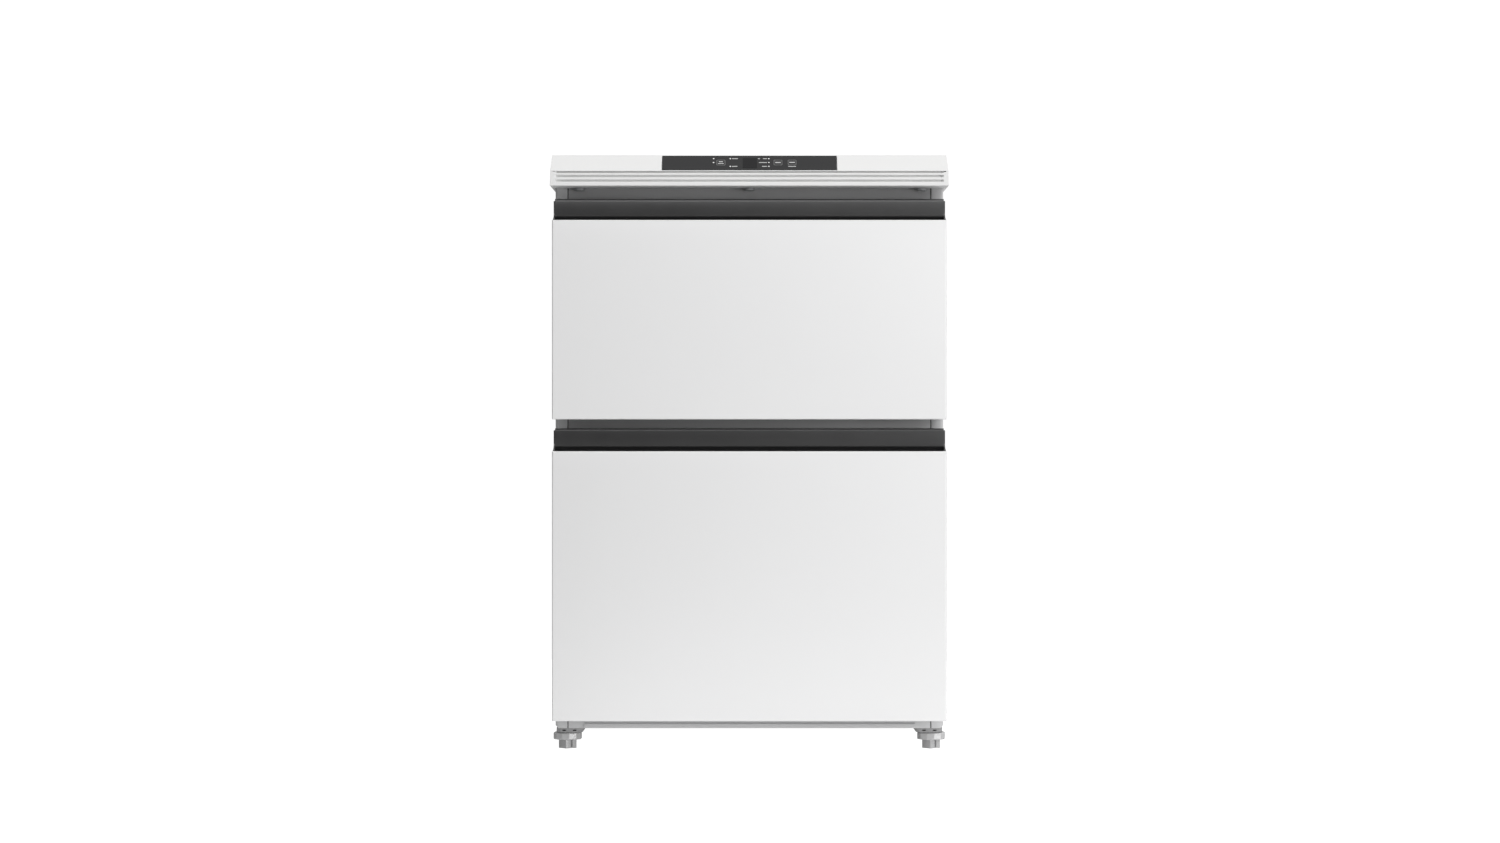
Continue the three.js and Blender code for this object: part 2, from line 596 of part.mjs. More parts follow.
function upperBin() {
  const { half, front, back, lip } = BIN;
  const { bin, rim } = UPPER_DRAWER;
  return tub(across(half), [front + lip, back - lip], [bin, rim]);
}

// The lower bin is deep at the front and shallow over the machine compartment.
function lowerBin() {
  const { half, front, back, wall, corner, lip, draft } = BIN;
  const { bin, rim } = LOWER_DRAWER;
  const { deepBack, shelf, shelfFront } = LOWER_BIN;
  const taperedBody = ([y0, y1], floor, inset, top) => loft([
    rectangleLoop(across(half - draft - inset), [y0 + draft + inset, y1 - draft - inset], corner - inset, floor + inset),
    rectangleLoop(across(half - inset), [y0 + inset, y1 - inset], corner - inset, top)]);
  const bothParts = (inset, top) => join(
    taperedBody([front + lip, deepBack], bin, inset, top),
    taperedBody([shelfFront, back - lip], shelf, inset, top));
  const rimBand = loft([-3, 0].map((drop) => rectangleLoop(across(half + lip), [front, back], corner + lip, rim + drop)));
  return cut(join(bothParts(0, rim), rimBand), bothParts(wall, rim + 1));
}

function drawer(group, name, size, bin) {
  const { panel, handle, plug, rim, bottom } = size;
  const assembly = new THREE.Group();
  assembly.position.z = bottom;
  piece(assembly, `${name}_front_panel`, frontPanel(panel), MATERIALS.white);
  piece(assembly, `${name}_front_insulation`, frontCore(panel, handle, plug), MATERIALS.foam);
  piece(assembly, `${name}_handle_channel`, handleChannel(panel, handle), MATERIALS.handle);
  piece(assembly, `${name}_inner_door`, innerDoor(panel, handle, plug), MATERIALS.liner);
  piece(assembly, `${name}_gasket`, gasket(panel, handle), MATERIALS.gasket);
  piece(assembly, `${name}_bin`, bin, MATERIALS.bin);
  const railHeight = rim - 3 + SLIDE.runnerHalf - SLIDE.wall - 0.3;
  pair(assembly, `${name}_runner`, drawerRunner(railHeight), MATERIALS.slide);
  pair(assembly, `${name}_middle_rail`, middleRail(railHeight), MATERIALS.slide);
  pair(assembly, `${name}_fixed_rail`, fixedRail(railHeight), MATERIALS.slide);
  group.add(assembly);
}

// ---------------------------------------------------------------- feet and rollers

// A screw foot: a square post, a round flange to turn it by, and a stem in the bracket.
function foot() {
  const { side, turn, post, flange, flangeTop, stem, stemTop } = FOOT;
  const square = block(across(side / 2), across(side / 2), [0, post + 1]);
  const slot = block([side / 2 - 3, side / 2 + 1], across(1.7), [2, post]);
  const angle = THREE.MathUtils.degToRad(turn);
  const postShape = cut(square, slot).rotateZ(angle);
  const disc = turned([[0, post], [flange - 1, post], [flange, post + 1], [flange, flangeTop - 1.2],
    [flange - 1.2, flangeTop], [0, flangeTop]], 32);
  return join(postShape, disc, bar(stem, [flangeTop - 1, stemTop], 16));
}

// The bracket tapers from the cabinet's floor to the foot's flange and has two drain holes in front.
function footBracket() {
  const { x, top, bottom, halfTop, halfBottom } = BRACKET;
  const centre = FOOT.y;
  const body = loft([
    rectangleLoop([x - halfBottom, x + halfBottom], [centre - halfBottom, centre + halfBottom], 14, bottom),
    rectangleLoop([x - halfTop, x + halfTop - 6], [centre - halfTop, centre + halfTop], 10, top)]);
  const hole = stemHole(5.5, [0, 60]);
  const windows = [-8, 7].map((shift) => barY(1.1, [centre - 40, centre - 13], 12)
    .scale(2.7, 1, 1).translate(x + shift, 0, (top + bottom) / 2 + 0.1));
  return cut(body, hole, ...windows);
}

function roller() {
  const { x, y, radius, width, hole } = ROLLER;
  const wheel = cut(barX(radius, across(width / 2), 32), barX(hole, across(width), 16));
  return { geometry: wheel, position: new THREE.Vector3(x, y, radius) };
}

// The rear floor plate, with two ears and a pin for each roller.
function compressorTray() {
  const { front, back, thickness, top } = TRAY;
  const half = CABINET.half - SHEET - GAP;
  const plate = alongX(sheetOutline([
    [back, top + 14], [back, top - thickness, 2], [front, top - thickness, 2], [front, top + 14]].reverse(), thickness),
  across(half));
  const { x, y, radius, width, pin } = ROLLER;
  const parts = [plate];
  for (const side of [-1, 1]) {
    const centre = side * x;
    for (const ear of [-1, 1]) {
      const earX = centre + ear * (width / 2 + 2.2);
      parts.push(alongX(outline([
        [y - 13, top - 0.5], [y - 8, 8, 5], [y + 8, 8, 5], [y + 13, top - 0.5]].reverse()), [earX - 1, earX + 1]));
    }
    const reach = width / 2 + 5;
    parts.push(barX(pin, across(reach), 16).translate(centre, y, radius));
    parts.push(barX(pin + 2, [reach - 1.2, reach + 1.2], 16).translate(centre, y, radius));
  }
  const wheelRoom = [-1, 1].map((side) => block(
    [side * x - width / 2 - 0.9, side * x + width / 2 + 0.9], [y - 18, y + 18], [top - thickness - 2, top + 1]));
  return cut(join(...parts), ...wheelRoom);
}

function supports(group) {
  pair(group, 'foot_bracket', footBracket(), MATERIALS.greyPlastic);
  piece(group, 'compressor_tray', compressorTray(), MATERIALS.galvanised);
  const { geometry, position } = roller();
  for (const [name, side] of [['left', -1], ['right', 1]]) {
    piece(group, `foot_${name}`, foot(), MATERIALS.foot).position.set(side * FOOT.x, FOOT.y, 0);
    piece(group, `roller_${name}`, geometry, MATERIALS.roller)
      .position.set(side * position.x, position.y, position.z);
  }
}

// ---------------------------------------------------------------- cooling machine

function compressor() {
  const { x, y, radius, stretch, bottom, top } = COMPRESSOR;
  const seam = bottom + 74;
  const pot = turned([[0, bottom + 4], [radius * 0.7, bottom + 4], [radius * 0.95, bottom + 18], [radius, bottom + 34],
    [radius, seam - 2], [radius + 2.5, seam - 2], [radius + 2.5, seam + 2], [radius, seam + 2],
    [radius * 0.97, top - 34], [radius * 0.82, top - 12], [radius * 0.5, top - 2], [0, top]]).scale(stretch, 1, 1);
  const plate = block(across(78), across(44), [bottom + 2, bottom + 5]);
  const posts = [-66, 66].flatMap((px) => [-34, 34].map((py) => bar(5, [TRAY.top + 0.3, bottom + 8], 12)
    .translate(px, py, 0)));
  const stub = barX(4, [radius * stretch - 12, radius * stretch + 12], 12).translate(0, 18, seam + 20);
  return join(pot, plate, ...posts, stub).translate(x, y, 0);
}

function terminalCover() {
  const { x, y, radius, stretch, bottom } = COMPRESSOR;
  const box = alongZ(outline([[-14, -22, 4], [14, -22, 4], [14, 22, 4], [-14, 22, 4]]), [bottom + 20, bottom + 68])
    .translate(x - radius * stretch - 18, y - 8, 0);
  const body = new THREE.CylinderGeometry(radius + 3, radius + 3, 200, 48)
    .rotateX(Math.PI / 2).scale(stretch, 1, 1).translate(x, y, bottom + 60);
  return cut(box, body);
}

function fanBlades(hub, tip, depth, blades) {
  const centre = bar(hub, across(depth / 2), ROUND);
  const vanes = Array.from({ length: blades }, (_, i) => block([hub - 2, tip], [-11, 11], across(0.9))
    .rotateX(0.5).rotateZ(i * 2 * Math.PI / blades));
  return join(centre, ...vanes);
}

function fanFrame() {
  const { half, depth, ring } = FAN;
  const frame = alongZ(outline([
    [-half, -half, 6], [half, -half, 6], [half, half, 6], [-half, half, 6]]), across(depth / 2));
  const hole = bar(ring, across(depth), 32);
  const motor = bar(17, [depth / 2 + 1, depth / 2 + 16], ROUND);
  const struts = [0, 1].map((i) => block(across(ring + 4), across(3), [depth / 2 - 1, depth / 2 + 3])
    .rotateZ(Math.PI / 4 + i * Math.PI / 2));
  return join(cut(frame, hole), motor, ...struts);
}

function filterDrier() {
  return turned([[0, 0], [3, 0], [3, 12], [10, 22], [10, 78], [3, 90], [3, 104], [0, 104]], 16);
}

// A copper pipe along a smooth path.
function pipe(points, radius, steps) {
  const path = new THREE.CatmullRomCurve3(points.map((point) => new THREE.Vector3(...point)));
  const section = new THREE.Shape(Array.from({ length: 8 }, (_, i) => {
    const angle = (i / 8) * 2 * Math.PI;
    return new THREE.Vector2(radius * Math.cos(angle), radius * Math.sin(angle));
  }));
  return new THREE.ExtrudeGeometry(section, { steps, bevelEnabled: false, extrudePath: path });
}

function dripTray() {
  const { x, y, top } = COMPRESSOR;
  const loop = (grow, z) => rectangleLoop([x - 74 - grow, x + 74 + grow], [y - 44 - grow, y + 44 + grow], 10 + grow, z);
  return loft([loop(-3, top + 0.4), loop(0, top + 16), loop(-1.8, top + 16), loop(-4.8, top + 2.2)]);
}

function machine(group) {
  piece(group, 'compressor', compressor(), MATERIALS.blackSteel);
  piece(group, 'terminal_cover', terminalCover(), MATERIALS.blackPlastic);
  piece(group, 'drip_tray', dripTray(), MATERIALS.greyPlastic);
  const condenser = finBlock(CONDENSER.x, CONDENSER.y, CONDENSER.z, CONDENSER.fins, CONDENSER.fin);
  piece(group, 'condenser', condenser, MATERIALS.fins);

  const fan = new THREE.Group();
  fan.position.set(FAN.x, FAN.y, FAN.z);
  fan.rotation.y = Math.PI / 2;
  piece(fan, 'condenser_fan_frame', fanFrame(), MATERIALS.blackPlastic);
  piece(fan, 'condenser_fan_blade', fanBlades(16, FAN.blade, 12, FAN.blades), MATERIALS.blackPlastic);
  group.add(fan);

  const drier = piece(group, 'filter_drier', filterDrier(), MATERIALS.copper);
  drier.position.set(252, 176, TRAY.top + 0.4);
  const { x, y, bottom, radius, stretch } = COMPRESSOR;
  const start = x + radius * stretch + 12.5;
  const height = bottom + 94;
  piece(group, 'suction_tube', pipe([
    [start, y + 18, height], [start + 8, y + 18, height], [start + 14, y + 16, height + 10],
    [start + 14, y + 4, height + 30], [start + 10, y - 14, height + 46], [start + 8, y - 18, MACHINE.top - 1.5],
  ], 3.5, 24), MATERIALS.copper);
}

// ---------------------------------------------------------------- cold air

function airPanel() {
  const { front, thickness } = AIR_PANEL;
  const { bottom, top } = UPPER_LINER;
  const panel = block(across(linerInside - 1), [front, front + thickness], [bottom + SKIN + 0.5, top - SKIN - 0.5]);
  const fanSlots = [-3, -2, -1, 0, 1, 2, 3].map((row) => {
    const z = COLD_FAN.z + row * 12;
    const half = Math.sqrt(COLD_FAN.ring ** 2 - (row * 12) ** 2);
    return block(across(half), [front - 2, front + 6], [z - 3, z + 3]);
  });
  const returnSlots = [-150, -90, -30, 30, 90, 150].map((x) => block(
    [x - 22, x + 22], [front - 2, front + 6], [508, 514]));
  return cut(panel, ...fanSlots, ...returnSlots);
}

function lowerDuct() {
  const { front, thickness } = AIR_PANEL;
  const [low, high] = [LOWER_LINER.step + SKIN + 0.6, LOWER_LINER.top - SKIN - 0.6];
  const back = LINER_BACK - SKIN - 0.5;
  const box = block(across(120), [front, back], [low, high]);
  const hollow = block(across(120 - thickness), [front + thickness, back + 2], [low + thickness, high + 2]);
  const slots = [-80, -27, 27, 80].flatMap((x) => [0, 1, 2].map((row) => block(
    [x - 20, x + 20], [front - 2, front + 6], [360 + row * 16, 365 + row * 16])));
  return cut(box, hollow, ...slots);
}

function coldAir(group) {
  piece(group, 'evaporator_cover', airPanel(), MATERIALS.liner);
  piece(group, 'lower_air_duct', lowerDuct(), MATERIALS.liner);
  const fins = finBlock(across(EVAPORATOR.half), EVAPORATOR.y, EVAPORATOR.z, EVAPORATOR.fins, EVAPORATOR.fin);
  piece(group, 'evaporator', fins, MATERIALS.fins);

  const fan = new THREE.Group();
  fan.position.set(0, COLD_FAN.y, COLD_FAN.z);
  fan.rotation.x = -Math.PI / 2;
  const shaftEnd = LINER_BACK - SKIN - 0.4 - COLD_FAN.y;
  const motor = join(bar(15, [8, 24], ROUND), block(across(40), across(6), [22, shaftEnd]));
  piece(fan, 'evaporator_fan_motor', motor, MATERIALS.blackPlastic);
  piece(fan, 'evaporator_fan_blade', fanBlades(14, COLD_FAN.blade, 11, COLD_FAN.blades), MATERIALS.liner);
  group.add(fan);
}

// ---------------------------------------------------------------- the whole appliance

const fridge = new THREE.Group();
worktop(fridge);
cabinet(fridge);
drawer(fridge, 'upper', UPPER_DRAWER, upperBin());
drawer(fridge, 'lower', LOWER_DRAWER, lowerBin());
supports(fridge);
machine(fridge);
coldAir(fridge);

export default fridge;
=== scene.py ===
# %% [markdown]
# # Under counter fridge with two drawers
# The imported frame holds 60 plain solids on 11 bodies. This lesson loads them, lights them like a product
# picture, gives each one its finish, and models again by hand the pieces that the eye rests on.
# Lengths are worked out in millimetres, as on a drawing, and turned into metres where a mesh is made.

# %% Load the frame
import json
import math

import bmesh
import bpy
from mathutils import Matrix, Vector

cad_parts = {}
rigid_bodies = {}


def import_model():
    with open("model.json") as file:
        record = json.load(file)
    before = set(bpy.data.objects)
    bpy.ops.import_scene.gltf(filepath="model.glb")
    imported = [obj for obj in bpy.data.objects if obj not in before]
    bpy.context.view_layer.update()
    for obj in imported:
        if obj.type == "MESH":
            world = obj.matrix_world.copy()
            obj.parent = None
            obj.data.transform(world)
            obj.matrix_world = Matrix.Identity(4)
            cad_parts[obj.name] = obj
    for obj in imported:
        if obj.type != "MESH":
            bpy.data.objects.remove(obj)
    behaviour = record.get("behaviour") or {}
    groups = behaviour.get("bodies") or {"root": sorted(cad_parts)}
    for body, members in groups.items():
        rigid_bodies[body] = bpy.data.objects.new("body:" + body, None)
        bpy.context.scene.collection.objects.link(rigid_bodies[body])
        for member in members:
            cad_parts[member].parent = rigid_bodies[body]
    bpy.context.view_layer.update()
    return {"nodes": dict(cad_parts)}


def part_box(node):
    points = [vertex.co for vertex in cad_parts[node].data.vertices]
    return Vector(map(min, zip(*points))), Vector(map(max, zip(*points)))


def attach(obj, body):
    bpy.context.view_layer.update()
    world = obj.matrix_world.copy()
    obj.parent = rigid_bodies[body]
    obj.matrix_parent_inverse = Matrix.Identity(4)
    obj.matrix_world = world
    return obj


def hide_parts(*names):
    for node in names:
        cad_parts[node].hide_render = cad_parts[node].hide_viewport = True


MM = 0.001
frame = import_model()

# %% [markdown]
# The camera comes first, because it settles what matters. It stands 5 m in front of the drawers, level and
# square to them, with a long lens, so that the front stays a true rectangle and almost nothing of the top
# shows.

# %% Camera
EYE = (0.0009, -5.305, 0.4706)
bpy.ops.object.camera_add(location=EYE, rotation=(math.radians(90), 0, 0))
camera = bpy.context.object
camera.name = "front_camera"
camera.data.lens = 85
camera.data.sensor_width = 36
bpy.context.scene.camera = camera
print("camera:", camera.data.lens, "mm lens")

# %% [markdown]
# The appliance stands in a white studio. The Standard view transform lets white reach full white, which a
# filmic one holds back to grey. The dome is white where the camera sees it. As a light it is dim along the
# horizon and bright overhead, as under a big ceiling silk, so the deep gaps between the drawers stay dark.
# Past the edge of the floor board it glows again from below, as pale ground far off does, and lifts the
# undersides. Its right side is stronger than its left, which gives every upright edge its shade.

# %% World
WHITE = (1, 1, 1, 1)
scene = bpy.context.scene
scene.view_settings.view_transform = "Standard"
scene.view_settings.look = "None"
world = bpy.data.worlds.new("studio")
scene.world = world
world.use_nodes = True
sky, air = world.node_tree.nodes, world.node_tree.links
sky.clear()


def sky_node(kind, values=None, operation=None):
    """A node of the world, with its sockets set to values or linked."""
    made = sky.new(kind)
    if operation:
        made.operation = operation
    for socket, value in (values or {}).items():
        if isinstance(value, bpy.types.NodeSocket):
            air.new(value, made.inputs[socket])
        else:
            made.inputs[socket].default_value = value
    return made


axes = sky_node("ShaderNodeSeparateXYZ", {0: sky_node("ShaderNodeTexCoord").outputs["Generated"]})
overhead = sky_node("ShaderNodeMapRange", {
    "Value": axes.outputs["Z"], "From Min": 0.1, "From Max": 0.55, "To Min": 0.01, "To Max": 1.25})
low_glow = sky_node("ShaderNodeMapRange", {
    "Value": axes.outputs["Z"], "From Min": -0.1, "From Max": -0.3, "To Min": 0.0, "To Max": 1.05})
sideways = sky_node("ShaderNodeMapRange", {
    "Value": axes.outputs["X"], "From Min": -0.95, "From Max": 0.3, "To Min": 0.1, "To Max": 1.1})
height_light = sky_node("ShaderNodeMath", {0: overhead.outputs[0], 1: low_glow.outputs[0]}, "ADD")
side_light = sky_node("ShaderNodeMath", {0: height_light.outputs[0], 1: sideways.outputs[0]}, "MULTIPLY")
lighting = sky_node("ShaderNodeBackground", {"Color": WHITE, "Strength": side_light.outputs[0]})
seen = sky_node("ShaderNodeBackground", {"Color": WHITE, "Strength": 1.05})
camera_ray = sky_node("ShaderNodeLightPath").outputs["Is Camera Ray"]
choice = sky_node("ShaderNodeMixShader", {0: camera_ray, 1: lighting.outputs[0], 2: seen.outputs[0]})
sky_node("ShaderNodeOutputWorld", {"Surface": choice.outputs[0]})
print("world:", len(sky), "nodes")

# %% [markdown]
# Four soft area lights shape the form. The key is a tall bank well round to the right, which lights the
# right-hand faces of the feet and edges and leaves the left ones in shade. A panel stands beside the camera:
# the satin grips and rails mirror it, so they grow lighter from left to right. A silk above the front lifts
# the upper drawer and the lid. A low card on the right is mirrored in the glossy floor, and so it brightens
# the right-hand faces of the feet from below.

# %% Lights


def soft_light(name, place, aim, width, height, power):
    """A rectangular area light at a place in metres, turned to look at a point."""
    bpy.ops.object.light_add(type="AREA", location=place)
    light = bpy.context.object
    light.name = name
    light.data.shape = "RECTANGLE"
    light.data.size, light.data.size_y = width, height
    light.data.energy = power
    light.visible_camera = False
    way = [to - at for to, at in zip(aim, place)]
    flat = math.hypot(way[0], way[1])
    light.rotation_euler = (math.atan2(flat, -way[2]), 0, math.atan2(way[1], way[0]) - math.pi / 2)
    return light


soft_light("camera_side_panel", (2.2, -5.7, 0.9), (0, -0.3, 0.5), 2.0, 1.7, 24)
soft_light("right_key", (6.4, -6.2, 2.3), (0, -0.2, 0.4), 2.8, 5.0, 84)
soft_light("front_silk", (0.2, -1.7, 1.65), (0, -0.28, 0.62), 1.5, 0.7, 5.5)
soft_light("low_side_card", (3.7, -3.5, 0.42), (0, -0.2, 0.05), 2.0, 0.8, 26)

# %% [markdown]
# One small class carries all the shader arithmetic. A Signal is a socket whose value varies over a surface,
# and adding, subtracting or multiplying it in Python adds the Math node that does so. A Finish is a
# material: it makes any other node, and links a signal to the shader.

# %% Signals and finishes


class Signal:
    """A value that varies over a surface; sums with it become Math nodes."""

    def __init__(self, finish, socket):
        self.finish = finish
        self.socket = socket

    def math(self, operation, first, second):
        return self.finish.node("ShaderNodeMath", {"operation": operation}, {0: first, 1: second})

    def __add__(self, other):
        return self.math("ADD", self, other)

    __radd__ = __add__

    def __sub__(self, other):
        return self.math("SUBTRACT", self, other)

    def __rsub__(self, other):
        return self.math("SUBTRACT", other, self)

    def __mul__(self, other):
        return self.math("MULTIPLY", self, other)

    __rmul__ = __mul__


class Finish:
    """A material in the making, for one of the record's finish slots."""

    def __init__(self, name, slot, colour, roughness, **constants):
        self.slot = slot
        self.material = bpy.data.materials.new(name)
        self.material.use_nodes = True
        self.tree = self.material.node_tree
        self.shader = self.tree.nodes["Principled BSDF"]
        self.shader.inputs["Base Color"].default_value = (*colour, 1)
        self.shader.inputs["Roughness"].default_value = roughness
        for socket, value in constants.items():
            self.shader.inputs[socket.replace("_", " ")].default_value = value

    def node(self, kind, settings=None, inputs=None, output=0):
        """Any node: its settings are set first, then its sockets get values or links."""
        made = self.tree.nodes.new(kind)
        for setting, value in (settings or {}).items():
            setattr(made, setting, value)
        for socket, value in (inputs or {}).items():
            if isinstance(value, Signal):
                self.tree.links.new(value.socket, made.inputs[socket])
            else:
                made.inputs[socket].default_value = value
        return Signal(self, made.outputs[output])

    def drive(self, socket, signal):
        self.tree.links.new(signal.socket, self.shader.inputs[socket])

    def place(self, stretch=(1, 1, 1)):
        """Object coordinates in metres, which ride with the piece."""
        point = self.node("ShaderNodeTexCoord", output="Object")
        return self.node("ShaderNodeMapping", {}, {"Vector": point, "Scale": stretch})

    def noise(self, scale, detail, stretch=(1, 1, 1)):
        return self.node("ShaderNodeTexNoise", {}, {
            "Vector": self.place(stretch), "Scale": scale, "Detail": detail})

    def cells(self, scale, output="Distance"):
        return self.node("ShaderNodeTexVoronoi", {}, {"Vector": self.place(), "Scale": scale}, output)

    def blend(self, amount, first, second):
        """Between two colours by a signal from 0 to 1."""
        return self.node("ShaderNodeMix", {"data_type": "RGBA"}, {0: amount, 6: first, 7: second}, output=2)

    def relief(self, height, depth):
        """A Bump node that reads a height signal, with its depth in millimetres."""
        return self.node("ShaderNodeBump", {}, {"Distance": depth * MM, "Height": height})


print("ready: Signal and Finish")

# %% [markdown]
# Nearly every surface here is paint or moulded plastic, and both have the same three traits: a grain or
# orange peel too fine to see as shape, a roughness that wanders a little, and a tone that isn't quite even.
# One function gives them, each at its own scale, and a finish adds what is its own.

# %% A grained surface


def grained(name, slot, colour, roughness, grain, depth, drift=0.02, wander=0.05, **constants):
    """Paint or plastic: a grain in millimetres, its depth, and how much tone and roughness drift."""
    finish = Finish(name, slot, colour, roughness, **constants)
    cloud = finish.noise(7, 3)
    dark = [channel * (1 - drift) for channel in colour] + [1]
    light = [min(1, channel * (1 + drift)) for channel in colour] + [1]
    finish.drive("Base Color", finish.blend(cloud, dark, light))
    finish.drive("Roughness", (finish.noise(40, 3) - 0.5) * wander + roughness)
    finish.drive("Normal", finish.relief(finish.noise(1000 / grain, 2), depth))
    return finish


bracket_plastic = grained("bracket_plastic", "grey_plastic", (0.32, 0.32, 0.325), 0.3, 0.8, 0.02, 0.03)
white_paint = grained("white_enamel", "front_white", (0.845, 0.845, 0.847), 0.34, 1.6, 0.006, 0.004, 0.04,
                      Coat_Weight=0.15, Coat_Roughness=0.2)
lid_plastic = grained("lid_plastic", "lid_white", (0.81, 0.81, 0.805), 0.46, 0.7, 0.012, 0.004)
shell_paint = grained("shell_enamel", "cabinet_steel", (0.58, 0.58, 0.585), 0.42, 1.3, 0.008, 0.02)
# A darker copy of the cabinet enamel, for the rails that sit in the gaps between the drawers: painted shade.
gap_shade_paint = grained("gap_shade_enamel", "cabinet_steel", (0.45, 0.45, 0.455), 0.42, 1.3, 0.008, 0.02)
grip_plastic = grained("grip_plastic", "handle_grey", (0.015, 0.015, 0.0156), 0.3, 0.5, 0.006, 0.03,
                       Specular_IOR_Level=0.9, IOR=1.7)
liner_plastic = grained("liner_plastic", "liner_white", (0.78, 0.79, 0.80), 0.32, 3.0, 0.01, 0.01)
foot_nylon = grained("foot_nylon", "foot_grey", (0.54, 0.54, 0.545), 0.2, 0.8, 0.01, 0.03,
                     Specular_IOR_Level=0.9)
dark_plastic = grained("dark_plastic", "black_plastic", (0.022, 0.022, 0.024), 0.5, 0.6, 0.03, 0.1)
grey_plastic = grained("grey_plastic", "grey_plastic", (0.24, 0.245, 0.25), 0.5, 0.8, 0.02, 0.05)
bin_plastic = grained("bin_plastic", "bin_clear_grey", (0.62, 0.655, 0.68), 0.22, 2.2, 0.008, 0.01)
pot_paint = grained("pot_enamel", "black_steel", (0.012, 0.012, 0.013), 0.3, 2.2, 0.03, 0.1,
                    Coat_Weight=0.3, Coat_Roughness=0.12)
print("grained finishes:", len(bpy.data.materials))

# %% [markdown]
# Rubber, foam and tyre plastic scatter light and have no sheen. The gasket is extruded, so its fine lines
# run round the door; the foam shows cells where it is cut; the roller shows the scuffs of a floor.

# %% Soft and rough finishes
gasket_rubber = grained("gasket_rubber", "gasket_grey", (0.23, 0.235, 0.24), 0.72, 0.9, 0.03, 0.06)
core_foam = Finish("core_foam", "insulation", (0.62, 0.53, 0.32), 0.92)
bubbles = core_foam.cells(900)
core_foam.drive("Base Color", core_foam.blend(bubbles, (0.46, 0.38, 0.21, 1), (0.70, 0.61, 0.39, 1)))
core_foam.drive("Normal", core_foam.relief(bubbles, 0.4))
roller_rubber = Finish("roller_rubber", "roller_black", (0.025, 0.025, 0.026), 0.7)
scuffs = roller_rubber.noise(120, 4)
clean_tread, dusty_tread = (0.015, 0.015, 0.016, 1), (0.05, 0.05, 0.05, 1)
roller_rubber.drive("Base Color", roller_rubber.blend(scuffs, clean_tread, dusty_tread))
roller_rubber.drive("Roughness", scuffs * 0.3 + 0.5)
roller_rubber.drive("Normal", roller_rubber.relief(roller_rubber.noise(900, 2), 0.05))
print("soft finishes ready")

# %% [markdown]
# Bare metals differ by how they were made. Galvanised sheet shows zinc spangle, flat crystals that each
# reflect a little differently. Slide rails are rolled, so their fine lines run lengthwise. Copper tarnishes
# in clouds, and fins are thin rolled foil.

# %% Metal finishes
zinc = Finish("zinc_spangle", "galvanised", (0.52, 0.53, 0.54), 0.4, Metallic=0.85)
crystal = zinc.node("ShaderNodeSeparateColor", {}, {0: zinc.cells(85, "Color")})
zinc.drive("Base Color", zinc.blend(crystal, (0.44, 0.45, 0.46, 1), (0.60, 0.61, 0.62, 1)))
zinc.drive("Roughness", crystal * 0.18 + 0.32)
zinc.drive("Normal", zinc.relief(zinc.noise(500, 2), 0.01))
rolled = Finish("rolled_steel", "slide_steel", (0.60, 0.61, 0.62), 0.3, Metallic=1.0)
lines = rolled.noise(1500, 2, stretch=(1, 0.02, 1))
rolled.drive("Base Color", rolled.blend(lines, (0.52, 0.53, 0.54, 1), (0.66, 0.67, 0.68, 1)))
rolled.drive("Roughness", lines * 0.16 + 0.22)
rolled.drive("Normal", rolled.relief(lines, 0.006))
copper = Finish("drawn_copper", "copper", (0.62, 0.29, 0.16), 0.3, Metallic=1.0)
tarnish = copper.noise(35, 4)
copper.drive("Base Color", copper.blend(tarnish, (0.42, 0.19, 0.10, 1), (0.72, 0.36, 0.21, 1)))
copper.drive("Roughness", tarnish * 0.3 + 0.16)
foil = Finish("fin_foil", "fin_aluminium", (0.66, 0.67, 0.68), 0.34, Metallic=1.0)
foil.drive("Roughness", foil.noise(300, 2) * 0.2 + 0.25)
foil.drive("Normal", foil.relief(foil.noise(700, 2), 0.03))
print("metal finishes ready")

# %% [markdown]
# The control strip is a smoked acrylic sheet: nearly black, with a clear gloss. The display in it is darker
# still. The dashes on it are a pale grey ink, the keys' outlines a dim one, and the small lamps are milky
# white lenses. The circuit board behind has green lacquer, with tracks as straight bands in two directions.

# %% Finishes of the controls
strip_acrylic = grained("strip_acrylic", "overlay_gloss", (0.017, 0.017, 0.018), 0.2, 4.0, 0.002, 0.01, 0.02,
                        Specular_IOR_Level=0.2)
display_glass = grained("display_glass", "overlay_gloss", (0.005, 0.005, 0.006), 0.14, 4.0, 0.001, 0.01,
                        0.02, Specular_IOR_Level=0.15)
printed_ink = grained("printed_ink", "overlay_gloss", (0.52, 0.52, 0.52), 0.5, 0.3, 0.004, 0.08)
outline_ink = grained("outline_ink", "overlay_gloss", (0.15, 0.15, 0.15), 0.5, 0.3, 0.004, 0.08)
lamp_lens = grained("lamp_lens", "overlay_gloss", (0.9, 0.9, 0.9), 0.25, 0.4, 0.002, 0.05)
board_lacquer = Finish("board_lacquer", "circuit_board", (0.03, 0.14, 0.06), 0.35)
bands = board_lacquer.node("ShaderNodeTexBrick", {"offset": 0.5}, {
    "Vector": board_lacquer.place(), "Scale": 160.0, "Mortar Size": 0.03,
    "Color1": (0, 0, 0, 1), "Color2": (0.2, 0.2, 0.2, 1), "Mortar": (1, 1, 1, 1)}, output="Fac")
dark_green, track_green = (0.02, 0.11, 0.045, 1), (0.06, 0.24, 0.11, 1)
board_lacquer.drive("Base Color", board_lacquer.blend(bands, dark_green, track_green))
print("finishes in all:", len(bpy.data.materials))
